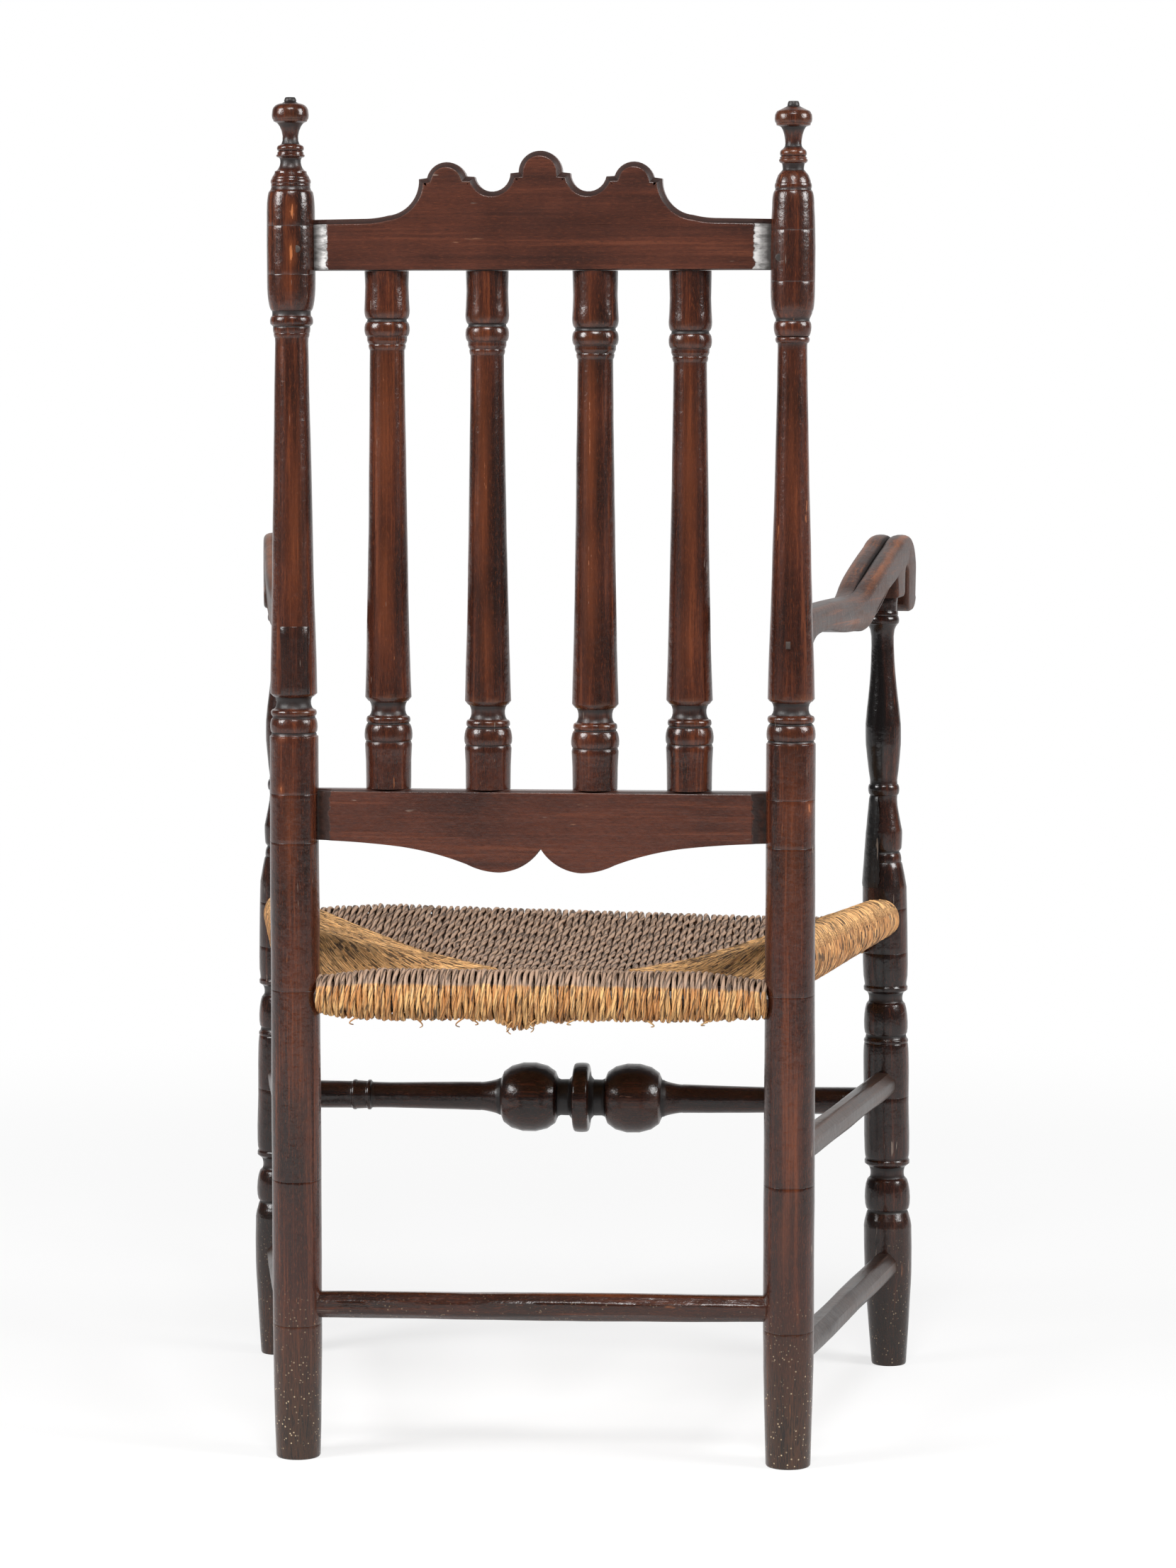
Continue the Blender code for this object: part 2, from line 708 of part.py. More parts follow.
def bar_between(name, start, end, posts, body, body_radius, material):
    """A bar from post axis to post axis. Body lists its points, as (distance from start, radius)."""
    length = (end - start).length
    shoulder = POST_RADIUS - STRETCHER_SEAT
    points = [(TENON_STOP, STRETCHER_TENON_RADIUS), (shoulder, STRETCHER_TENON_RADIUS)]
    points += body
    points += [(length - shoulder, STRETCHER_TENON_RADIUS), (length - TENON_STOP, STRETCHER_TENON_RADIUS)]
    bar = add_object(name, turned_bmesh(points, BAR_SIDES, first=BAR_FIRST_EDGE_SHARE), material)
    place_along(bar, start, end)
    socket = [
        (TENON_STOP - FIT_GAP, STRETCHER_TENON_RADIUS + FIT_GAP),
        (shoulder - FIT_GAP, STRETCHER_TENON_RADIUS + FIT_GAP),
        (shoulder - FIT_GAP, body_radius + FIT_GAP),
        (POST_RADIUS + CUT_OVERRUN, body_radius + FIT_GAP),
    ]
    for post, place, far in ((posts[0], start, end), (posts[1], end, start)):
        room = turned_bmesh(socket, BAR_SIDES, first=BAR_FIRST_EDGE_SHARE)
        tool = as_tool(add_object(f"socket_{name}_{post.name}", room, None))
        place_along(tool, place, far)
        cut(post, tool)
    return bar


def plain_body(start, end, radius, middle_share=1.0):
    """Points of a bar of one radius, a little thicker or thinner at its middle."""
    length = (end - start).length
    shoulder = POST_RADIUS - STRETCHER_SEAT
    return [(shoulder, radius), (length / 2, radius * middle_share), (length - shoulder, radius)]


def front_stretcher_body(start, end):
    length = (end - start).length
    middle = length / 2
    shoulder = POST_RADIUS - STRETCHER_SEAT
    half = [(0, FRONT_STRETCHER_BALL_RADIUS)]
    turned_stretch(half, FRONT_STRETCHER_TURNING_HALF, FRONT_STRETCHER_BALL_RADIUS, STRETCHER_TURNING_SHARES)
    half.append((middle - shoulder, FRONT_STRETCHER_RADIUS))
    first = [(middle - distance, radius) for distance, radius in reversed(half[1:])]
    return first + [(middle + distance, radius) for distance, radius in half]


def make_stretchers(rear, front, material):
    start, end = front_axis(1, FRONT_STRETCHER_HEIGHT), front_axis(-1, FRONT_STRETCHER_HEIGHT)
    body = front_stretcher_body(start, end)
    pair = (front[1][0], front[-1][0])
    bar_between("front_stretcher", start, end, pair, body, FRONT_STRETCHER_RADIUS, material)
    start, end = rear_axis(1, REAR_STRETCHER_HEIGHTS[0]), rear_axis(-1, REAR_STRETCHER_HEIGHTS[1])
    body = plain_body(start, end, REAR_STRETCHER_RADIUS, REAR_STRETCHER_MIDDLE_SHARE)
    pair = (rear[1][0], rear[-1][0])
    bar_between("rear_stretcher", start, end, pair, body, REAR_STRETCHER_RADIUS, material)
    for side, word in ((1, "left"), (-1, "right")):
        for level, heights, radius in (
            ("upper", SIDE_UPPER_HEIGHTS, SIDE_UPPER_RADIUS),
            ("lower", SIDE_LOWER_HEIGHTS, SIDE_LOWER_RADIUS),
        ):
            start, end = rear_axis(side, heights[0]), front_axis(side, heights[1])
            body = plain_body(start, end, radius)
            pair = (rear[side][0], front[side][0])
            bar_between(f"side_stretcher_{level}_{word}", start, end, pair, body, radius, material)


# Seat


def seat_rail(name, start, end, posts, material):
    """A rail and the tool that bores its way through the rush."""
    body = plain_body(start, end, SEAT_RAIL_RADIUS)
    bar_between(name, start, end, posts, body, SEAT_RAIL_RADIUS, material)
    length = (end - start).length
    bore = [(0, SEAT_RAIL_RADIUS + FIT_GAP), (length, SEAT_RAIL_RADIUS + FIT_GAP)]
    room = turned_bmesh(bore, BAR_SIDES, first=BAR_FIRST_EDGE_SHARE)
    tool = as_tool(add_object("bore_for_" + name, room, None))
    place_along(tool, start, end)
    return tool


def make_seat_rails(rear, front, material):
    rear_height, front_height = SEAT_RAIL_SIDE_HEIGHTS
    runs = (
        ("rear", rear_axis, SEAT_RAIL_REAR_HEIGHT, rear),
        ("front", front_axis, SEAT_RAIL_FRONT_HEIGHT, front),
    )
    bores = []
    for word, axis, height, posts in runs:
        pair = (posts[1][0], posts[-1][0])
        bores.append(seat_rail("seat_rail_" + word, axis(1, height), axis(-1, height), pair, material))
    for side, word in ((1, "left"), (-1, "right")):
        start, end = rear_axis(side, rear_height), front_axis(side, front_height)
        bores.append(seat_rail("seat_rail_" + word, start, end, (rear[side][0], front[side][0]), material))
    return bores


def roll_at(share, ends, at_post):
    """How far a roll stands above or below its rail, at a share of the rail's length; less at the posts."""
    edge = min(1, min(share, 1 - share) / RUSH_END_SHARE)
    middle = ends[0] + (ends[1] - ends[0]) * share
    return at_post + (middle - at_post) * edge


def rush_run(start, end, rises, falls, ridge, end_rise=RUSH_END_RISE):
    """Places along one rail: (point on its axis, point that the rush runs to, rise and fall of its roll)."""
    places = []
    for index in range(RUSH_SIDE_POINTS):
        share = index / RUSH_SIDE_POINTS
        rise = roll_at(share, rises, end_rise)
        fall = roll_at(share, falls, RUSH_END_FALL)
        places.append((start.lerp(end, share), ridge[0].lerp(ridge[1], share), rise, fall))
    return places


def rush_places():
    middle_y = (REAR_Y + FRONT_Y) / 2
    left_ridge = Vector((RUSH_RIDGE_HALF, middle_y, 0))
    right_ridge = Vector((-RUSH_RIDGE_HALF, middle_y, 0))
    rear_height, front_height = SEAT_RAIL_SIDE_HEIGHTS
    rises, falls = RUSH_SIDE_ROLL_RISES, RUSH_SIDE_ROLL_FALLS
    rear_left, rear_right = rear_axis(1, SEAT_RAIL_REAR_HEIGHT), rear_axis(-1, SEAT_RAIL_REAR_HEIGHT)
    front_left, front_right = front_axis(1, SEAT_RAIL_FRONT_HEIGHT), front_axis(-1, SEAT_RAIL_FRONT_HEIGHT)
    left_rear, left_front = rear_axis(1, rear_height), front_axis(1, front_height)
    right_rear, right_front = rear_axis(-1, rear_height), front_axis(-1, front_height)
    rear_rises = (RUSH_REAR_ROLL_RISE, RUSH_REAR_ROLL_RISE)
    rear_falls = (RUSH_REAR_ROLL_FALL, RUSH_REAR_ROLL_FALL)
    front_rises = RUSH_FRONT_ROLL_RISES[::-1]
    front_falls = (RUSH_FRONT_ROLL_FALL, RUSH_FRONT_ROLL_FALL)
    ridge = (left_ridge, right_ridge)
    places = rush_run(rear_left, rear_right, rear_rises, rear_falls, ridge, RUSH_REAR_END_RISE)
    places += rush_run(right_rear, right_front, rises, falls, (right_ridge, right_ridge))
    places += rush_run(front_right, front_left, front_rises, front_falls, ridge[::-1])
    places += rush_run(left_front, left_rear, rises[::-1], falls[::-1], (left_ridge, left_ridge))
    return places


def rush_bmesh():
    """The outer shape of the woven seat: rolls over the rails, falling to a dished middle above and below."""
    places = rush_places()
    count = len(places)
    dish_top = SEAT_RAIL_REAR_HEIGHT - RUSH_DISH_DROP
    dish_foot = dish_top - RUSH_DISH_THICKNESS
    bm = bmesh.new()
    rings = []
    for index in range(count):
        axis, ridge, rise, fall = places[index]
        before = places[index - 1][0]
        after = places[(index + 1) % count][0]
        along = after - before
        outwards = Vector((along.y, -along.x, 0)).normalized()
        if outwards.dot(ridge - axis) > 0:
            outwards.negate()
        run = Vector((ridge.x - axis.x, ridge.y - axis.y, 0))
        ring = []
        for step in range(RUSH_TOP_STEPS + 1):
            share = 1 - step / RUSH_TOP_STEPS
            slope = (1 - share) ** RUSH_FALL_POWER
            height = dish_top + (axis.z + rise - dish_top) * slope
            ring.append(Vector((axis.x, axis.y, 0)) + run * share + Vector((0, 0, height)))
        for step in range(1, RUSH_ROLL_STEPS):
            angle = math.pi * step / RUSH_ROLL_STEPS
            offset = outwards * RUSH_ROLL_REACH * math.sin(angle)
            roll = rise if angle < math.pi / 2 else fall
            ring.append(axis + offset + Vector((0, 0, roll * math.cos(angle))))
        for step in range(RUSH_TOP_STEPS + 1):
            share = step / RUSH_TOP_STEPS
            slope = (1 - share) ** RUSH_FALL_POWER
            height = dish_foot + (axis.z - fall - dish_foot) * slope
            ring.append(Vector((axis.x, axis.y, 0)) + run * share + Vector((0, 0, height)))
        rings.append([bm.verts.new(place) for place in ring])
    for index in range(count):
        first = rings[index]
        second = rings[(index + 1) % count]
        for step in range(len(first) - 1):
            bm.faces.new((first[step], second[step], second[step + 1], first[step + 1]))
    bmesh.ops.remove_doubles(bm, verts=bm.verts, dist=FIT_GAP / 10)
    bmesh.ops.triangulate(bm, faces=bm.faces)
    return bm


def make_rush(rear, front, bores, material):
    rush = add_object("rush_seat", rush_bmesh(), material)
    reach = POST_RADIUS * RUSH_CORNER_CUT_SHARE
    far = RUSH_ROLL_REACH * 2
    low_z = SEAT_RAIL_REAR_HEIGHT - far - RUSH_DISH_THICKNESS
    high_z = max(SEAT_RAIL_SIDE_HEIGHTS) + far
    for posts, y_side, axis in ((rear, 1, rear_axis), (front, -1, front_axis)):
        for side, (post, room) in posts.items():
            centre = axis(side, SEAT_RAIL_FRONT_HEIGHT)
            xs = sorted((centre.x - side * reach, centre.x + side * far))
            ys = sorted((centre.y - y_side * reach, centre.y + y_side * far))
            corner = box_tool("corner_at_" + post.name, (xs[0], ys[0], low_z), (xs[1], ys[1], high_z))
            cut(rush, corner)
            cut(rush, room)
    for bore in bores:
        cut(rush, bore)
    return rush


# Arms


def arm_outline():
    corners = []
    for x, z, bulge in ARM_OUTLINE_SHARES:
        corners.append((Vector((ARM_LENGTH * x, ARM_SCROLL_FOOT_HEIGHT + ARM_RISE * z)), bulge))
    return outline(corners, ARC_STEPS)


def arm_reach():
    """How far the arms reach forwards of the rear posts' axes."""
    angle = math.atan2(front_post_x(1, ARM_SHOULDER_HEIGHT) - HALF_SPAN, SEAT_DEPTH)
    tip = max(point.x for point in arm_outline())
    return tip * math.cos(angle) + (ARM_FRONT_WIDTH / 2 - ARM_EDGE_ROUNDING) * math.sin(angle)


def groove_bmesh(points):
    """The V groove that parts the arm's top into two ridges, deepening from nothing at both its ends."""
    path = points[ARM_GROOVE_FIRST_POINT : ARM_GROOVE_LAST_POINT + 1]
    outer = moved_edges(path, -ARM_GROOVE_DEPTH, False)
    inner = moved_edges(path, ARM_GROOVE_DEPTH, False)
    inner[0] = (path[0] + outer[0]) / 2
    inner[-1] = (path[-1] + outer[-1]) / 2
    bm = bmesh.new()
    rings = []
    for high, low in zip(outer, inner):
        places = ((high.x, -ARM_GROOVE_HALF_WIDTH * 2, high.y), (high.x, ARM_GROOVE_HALF_WIDTH * 2, high.y))
        rings.append([bm.verts.new(place) for place in places + ((low.x, 0, low.y),)])
    for first, second in zip(rings, rings[1:]):
        for index in range(len(first)):
            after = (index + 1) % len(first)
            bm.faces.new((first[index], first[after], second[after], second[index]))
    bm.faces.new(rings[0])
    bm.faces.new(reversed(rings[-1]))
    bmesh.ops.triangulate(bm, faces=bm.faces)
    return bm


def make_arm(side, word, rear, front, material):
    """Built along local +X from the rear post's axis, then turned to run over the front post."""
    points = arm_outline()
    inner = moved_edges(points, ARM_EDGE_ROUNDING, True)
    half = ARM_FRONT_WIDTH / 2
    layers = (
        (inner, -half),
        (points, ARM_EDGE_ROUNDING - half),
        (points, half - ARM_EDGE_ROUNDING),
        (inner, half),
    )
    bm = board_bmesh(layers)
    for share in (ARM_NARROW_SHARE, ARM_NARROW_SHARE + ARM_WIDENING_SHARE):
        geometry = bm.verts[:] + bm.edges[:] + bm.faces[:]
        bmesh.ops.bisect_plane(bm, geom=geometry, plane_co=(ARM_LENGTH * share, 0, 0), plane_no=(1, 0, 0))
    narrow = ARM_REAR_WIDTH / ARM_FRONT_WIDTH
    for vert in bm.verts:
        share = (vert.co.x / ARM_LENGTH - ARM_NARROW_SHARE) / ARM_WIDENING_SHARE
        vert.co.y *= narrow + (1 - narrow) * max(0, min(1, share))
    bmesh.ops.triangulate(bm, faces=bm.faces)
    arm = add_object("arm_" + word, bm, material)
    start = rear_axis(side, 0)
    end = front_axis(side, ARM_SHOULDER_HEIGHT)
    angle = math.atan2(end.y - start.y, end.x - start.x)
    arm.location = start
    arm.rotation_euler = (0, 0, angle)
    post, room = rear[side]
    cut(arm, room)
    cut(arm, front[side][1])
    half_width = ARM_REAR_TENON_WIDTH / 2
    foot_height = ARM_SCROLL_FOOT_HEIGHT - ARM_REAR_TENON_DROP
    low = Vector((TENON_STOP, -half_width, foot_height))
    high = Vector((POST_RADIUS * 2, half_width, foot_height + ARM_REAR_TENON_HEIGHT))
    gap = Vector((FIT_GAP, FIT_GAP, FIT_GAP))
    groove = as_tool(add_object("groove_arm_" + word, groove_bmesh(points), None))
    tenon = box_tool("tenon_arm_" + word, low, high)
    mortise = box_tool("mortise_arm_" + word, low - gap, high + gap)
    for tool in (groove, tenon, mortise):
        tool.location = start
        tool.rotation_euler = (0, 0, angle)
    cut(arm, groove)
    join(arm, tenon)
    cut(post, mortise)
    return arm


# Pegs, pin, patch and strip


def make_crest_pegs(rear, crest, material):
    """Round pegs from the posts' backs through the crest rail's tenons."""
    words = ("left", "right")
    for side, word, rise, inset, setback in zip((1, -1), words, PEG_RISES, PEG_INSETS, PEG_SETBACKS):
        post = rear[side][0]
        back_y = REAR_Y + POST_RADIUS - setback
        back = Vector((side * (HALF_SPAN - inset), back_y, CREST_FOOT_HEIGHT + rise))
        inner = back - Vector((0, PEG_LENGTH, 0))
        points = [(0, PEG_RADIUS), (PEG_LENGTH, PEG_RADIUS)]
        peg = add_object("crest_peg_" + word, turned_bmesh(points, PEG_SIDES), material)
        place_along(peg, inner, back)
        hole = [(-FIT_GAP, PEG_RADIUS + FIT_GAP), (PEG_LENGTH + CUT_OVERRUN, PEG_RADIUS + FIT_GAP)]
        tool = as_tool(add_object("hole_crest_peg_" + word, turned_bmesh(hole, PEG_SIDES), None))
        place_along(tool, inner, back)
        cut(post, tool)
        cut(crest, tool)


def make_arm_pin(rear, arm, material):
    """A flat pin from the right rear post's back into the arm's tenon."""
    height = ARM_SCROLL_FOOT_HEIGHT - ARM_REAR_TENON_DROP + PIN_ABOVE_TENON_FOOT
    back = Vector((PIN_INSET - HALF_SPAN, REAR_Y + POST_RADIUS, height))
    low = back - Vector((PIN_WIDTH / 2, PIN_LENGTH, PIN_THICKNESS / 2))
    high = back + Vector((PIN_WIDTH / 2, 0, PIN_THICKNESS / 2))
    gap = Vector((FIT_GAP, FIT_GAP, FIT_GAP))
    add_object("arm_pin_right", box_bmesh(low, high), material)
    hole = box_tool("hole_arm_pin", low - gap, high + Vector((FIT_GAP, CUT_OVERRUN, FIT_GAP)))
    cut(rear[-1][0], hole)
    cut(arm, hole)


def make_patch(rear, blank_points, material):
    """A let-in repair in the back of the left rear post, rounded to the post's surface."""
    x = HALF_SPAN - PATCH_INSET
    back_y = REAR_Y + POST_RADIUS
    foot_height = COLUMN_FOOT_HEIGHT + PATCH_ABOVE_COLUMN_FOOT
    low = Vector((x - PATCH_WIDTH / 2, back_y - PATCH_DEPTH, foot_height))
    high = Vector((x + PATCH_WIDTH / 2, back_y + CUT_OVERRUN, foot_height + PATCH_LENGTH))
    patch = add_object("repair_patch_left", box_bmesh(low, high), material)
    blank = as_tool(add_object("post_blank", turned_bmesh(blank_points, POST_SIDES), None))
    blank.location = (HALF_SPAN, REAR_Y, 0)
    boolean(patch, blank, "INTERSECT")
    gap = Vector((FIT_GAP, FIT_GAP, FIT_GAP))
    cut(rear[1][0], box_tool("recess_for_patch", low - gap, high + gap))


def make_strip(front, material):
    """A let-in repair on the inner back of the right front post, tapering up the post."""
    foot_height = SEAT_BLOCK_FOOT_HEIGHT + SEAT_BLOCK_LENGTH
    axis = front_axis(-1, foot_height + STRIP_LENGTH / 2)
    far = POST_RADIUS * 2
    low = Vector((axis.x + STRIP_INSET, axis.y - STRIP_FORWARD_REACH, foot_height))
    high = Vector((axis.x + far, axis.y + far, foot_height + STRIP_LENGTH))
    strip = add_object("repair_strip_right", box_bmesh(low, high), material)
    points = [(foot_height - CUT_OVERRUN, POST_RADIUS * STRIP_FOOT_SHARE)]
    points.append((foot_height, POST_RADIUS * STRIP_FOOT_SHARE))
    turned_stretch(points, STRIP_LENGTH, POST_RADIUS, STRIP_SHARES)
    points.append((high.z + CUT_OVERRUN, points[-1][1]))
    lean = math.tan(FRONT_POST_SPLAY)
    blank = as_tool(add_object("strip_blank", turned_bmesh(points, POST_SIDES, lean), None))
    blank.location = (-FRONT_POST_SPACING / 2, FRONT_Y, 0)
    boolean(strip, blank, "INTERSECT")
    gap = Vector((FIT_GAP, FIT_GAP, FIT_GAP))
    cut(front[-1][0], box_tool("recess_for_strip", low - gap, high + gap))


# The origin is under the middle of the box round the chair
REAR_Y = (arm_reach() - POST_RADIUS) / 2
FRONT_Y = REAR_Y - SEAT_DEPTH


def main():
    clear_scene()
    wood = principled("stained_wood", WOOD_COLOUR, 0.35)
    dark_wood = principled("dark_wood", DARK_WOOD_COLOUR, 0.4)
    rush_material = principled("rush", RUSH_COLOUR, 0.8)
    peg_material = principled("peg_wood", PEG_COLOUR, 0.6)
    left_points = rear_post_points(
        LEFT_COLUMN_SHARES, LEFT_COLLAR_SHARES, LEFT_BARREL_SHARES, LEFT_FINIAL_SHARES
    )
    right_points = rear_post_points(
        RIGHT_COLUMN_SHARES, RIGHT_COLLAR_SHARES, RIGHT_BARREL_SHARES, RIGHT_FINIAL_SHARES
    )
    front_points = front_post_points()
    rear = {}
    front = {}
    for side, word, rear_points in ((1, "left", left_points), (-1, "right", right_points)):
        rear[side] = make_post("rear_post_" + word, rear_points, side * HALF_SPAN, REAR_Y, 0, wood)
        lean = -side * math.tan(FRONT_POST_SPLAY)
        x = side * FRONT_POST_SPACING / 2
        front[side] = make_post("front_post_" + word, front_points, x, FRONT_Y, lean, dark_wood)
    crest = make_crest(rear, wood)
    lower = make_lower_rail(rear, wood)
    for number, (x, head) in enumerate(zip(BANISTER_PLACES, BANISTER_HEAD_LENGTHS), 1):
        make_banister(number, x, head, (crest, lower), wood)
    make_stretchers(rear, front, dark_wood)
    bores = make_seat_rails(rear, front, dark_wood)
    make_rush(rear, front, bores, rush_material)
    arms = {}
    for side, word in ((1, "left"), (-1, "right")):
        arms[side] = make_arm(side, word, rear, front, wood)
    make_crest_pegs(rear, crest, peg_material)
    make_arm_pin(rear, arms[-1], peg_material)
    make_patch(rear, left_points, dark_wood)
    make_strip(front, dark_wood)


main()
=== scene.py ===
"""Looks of the bannister back armchair: its fine pieces, finishes, floor, light and camera.

Lengths are in millimetres, and become metres, Blender's own unit, where a mesh is made. +Z is up, and the
sitter faces -Y, so the sitter's left is +X.
"""

import math

import bmesh
import bpy
from mathutils import Matrix, Vector, noise


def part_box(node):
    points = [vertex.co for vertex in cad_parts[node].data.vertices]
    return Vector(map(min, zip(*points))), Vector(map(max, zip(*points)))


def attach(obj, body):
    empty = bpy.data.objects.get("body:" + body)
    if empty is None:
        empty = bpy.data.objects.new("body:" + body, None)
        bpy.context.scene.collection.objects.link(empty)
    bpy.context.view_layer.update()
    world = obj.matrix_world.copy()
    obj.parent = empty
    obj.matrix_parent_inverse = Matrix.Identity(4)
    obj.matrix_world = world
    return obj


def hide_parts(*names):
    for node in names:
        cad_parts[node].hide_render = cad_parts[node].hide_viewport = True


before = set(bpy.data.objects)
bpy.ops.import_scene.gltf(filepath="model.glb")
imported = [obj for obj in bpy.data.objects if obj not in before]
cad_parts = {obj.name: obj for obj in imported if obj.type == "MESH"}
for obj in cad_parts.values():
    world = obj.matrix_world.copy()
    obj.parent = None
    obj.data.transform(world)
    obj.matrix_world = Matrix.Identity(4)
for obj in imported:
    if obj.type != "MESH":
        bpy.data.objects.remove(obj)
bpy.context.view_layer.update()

MM = 0.001
UP = Vector((0, 0, 1))

# Where the posts stand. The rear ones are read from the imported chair, and the front ones lean inwards.
rear_low, rear_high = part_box("rear_post_left")
REAR_X = (rear_low.x + rear_high.x) / 2 / MM
REAR_Y = (rear_low.y + rear_high.y) / 2 / MM
SEAT_DEPTH = 425.0
FRONT_Y = REAR_Y - SEAT_DEPTH
FRONT_X = 305.8
FRONT_LEAN = 0.01466
ARM_HEIGHT = 759.7

# The back's rails, and how their grain is numbered
RAIL_BACK = REAR_Y + 12
RAIL_FRONT = RAIL_BACK - 22
CREST_NUMBER = 11
LOWER_NUMBER = 12
BOARD_SHIFT = 0.37


def front_axis(side, height):
    return Vector((side * (FRONT_X - FRONT_LEAN * height), FRONT_Y, height))


def rear_axis(side, height):
    return Vector((side * REAR_X, REAR_Y, height))


def clamped(value):
    return max(0.0, min(1.0, value))


def smooth(value):
    """0 below 0, 1 above 1, and an s-shaped slope between."""
    value = clamped(value)
    return value * value * (3 - 2 * value)


def noise_at(x, y, z):
    return noise.noise(Vector((x, y, z)))


def added(name, data):
    """A new object in the scene."""
    thing = bpy.data.objects.new(name, data)
    bpy.context.scene.collection.objects.link(thing)
    return thing


# Nodes


class Signal:
    """A value on a node's socket. Arithmetic on it adds Math nodes."""

    def __init__(self, nodes, socket):
        self.nodes = nodes
        self.socket = socket

    def maths(self, operation, *others):
        return self.nodes.node("Math", {"operation": operation}, dict(enumerate((self, *others))))

    def reflected(self, operation, other):
        return self.nodes.node("Math", {"operation": operation}, {0: other, 1: self})

    def __add__(self, other):
        return self.maths("ADD", other)

    def __radd__(self, other):
        return self.reflected("ADD", other)

    def __sub__(self, other):
        return self.maths("SUBTRACT", other)

    def __rsub__(self, other):
        return self.reflected("SUBTRACT", other)

    def __mul__(self, other):
        return self.maths("MULTIPLY", other)

    def __rmul__(self, other):
        return self.reflected("MULTIPLY", other)

    def __truediv__(self, other):
        return self.maths("DIVIDE", other)

    def __pow__(self, other):
        return self.maths("POWER", other)

    def clamped(self):
        return self.nodes.node("Clamp", {}, {"Value": self})

    def between(self, low, high, least=0.0, most=1.0):
        """Least at low, most at high, smooth between and level beyond."""
        sockets = {"Value": self, "From Min": low, "From Max": high, "To Min": least, "To Max": most}
        return self.nodes.node("MapRange", {"interpolation_type": "SMOOTHSTEP"}, sockets)

    def wave(self):
        """0 to 1 and back for each whole number passed."""
        return (self * (2 * math.pi)).maths("SINE") * 0.5 + 0.5


class Nodes:
    """A tree that is built node by node."""

    def __init__(self, tree):
        self.tree = tree
        tree.nodes.clear()

    def node(self, kind, settings, sockets, output=0):
        """One node: its settings first, then a value or a link for each of its sockets."""
        node = self.tree.nodes.new(kind if "Node" in kind else "ShaderNode" + kind)
        for name, value in settings.items():
            setattr(node, name, value)
        for key, value in sockets.items():
            if isinstance(value, Signal):
                self.tree.links.new(value.socket, node.inputs[key])
            else:
                node.inputs[key].default_value = value
        return Signal(self, node.outputs[output]) if node.outputs else None

    def part(self, vector, axis):
        """One coordinate of a vector: 0 for x, 1 for y and 2 for z."""
        return self.node("SeparateXYZ", {}, {0: vector}, axis)

    def ray(self, kind):
        """1 on a ray of this kind, such as Is Camera Ray, and 0 on any other."""
        return self.node("LightPath", {}, {}, kind)


class Finish(Nodes):
    """A material."""

    def __init__(self, name, colour):
        self.material = bpy.data.materials.new(name)
        self.material.use_nodes = True
        self.material.diffuse_color = colour
        super().__init__(self.material.node_tree)

    def layered(self, colour, *layers):
        """A colour under layers, each a factor and the colour that shows where the factor is 1."""
        for factor, over in layers:
            sockets = {0: factor, 6: colour, 7: over}
            colour = self.node("Mix", {"data_type": "RGBA", "clamp_factor": True}, sockets, 2)
        return colour

    def stored(self, name, output=2):
        """A value that the mesh carries: output 1 is a vector and 2 a number."""
        return self.node("Attribute", {"attribute_name": name}, {}, output)

    def place(self):
        """Object coordinates."""
        return self.node("TexCoord", {}, {}, 3)

    def stretched(self, place, scale, shift=(0.0, 0.0, 0.0)):
        return self.node("Mapping", {}, {"Vector": place, "Scale": scale, "Location": shift})

    def mottle(self, place, scale, detail=3.0, roughness=0.55, distortion=0.0):
        sockets = {"Vector": place, "Scale": scale, "Detail": detail, "Roughness": roughness}
        sockets["Distortion"] = distortion
        return self.node("TexNoise", {}, sockets)

    def bump(self, height, distance, strength, under=None):
        sockets = {"Height": height, "Distance": distance, "Strength": strength}
        if under:
            sockets["Normal"] = under
        return self.node("Bump", {}, sockets)

    def done(self, sockets):
        shader = self.node("BsdfPrincipled", {}, sockets)
        self.node("OutputMaterial", {}, {"Surface": shader})
        return self.material


# Finishes


def solid(tones):
    return [(*tone, 1) for tone in tones]


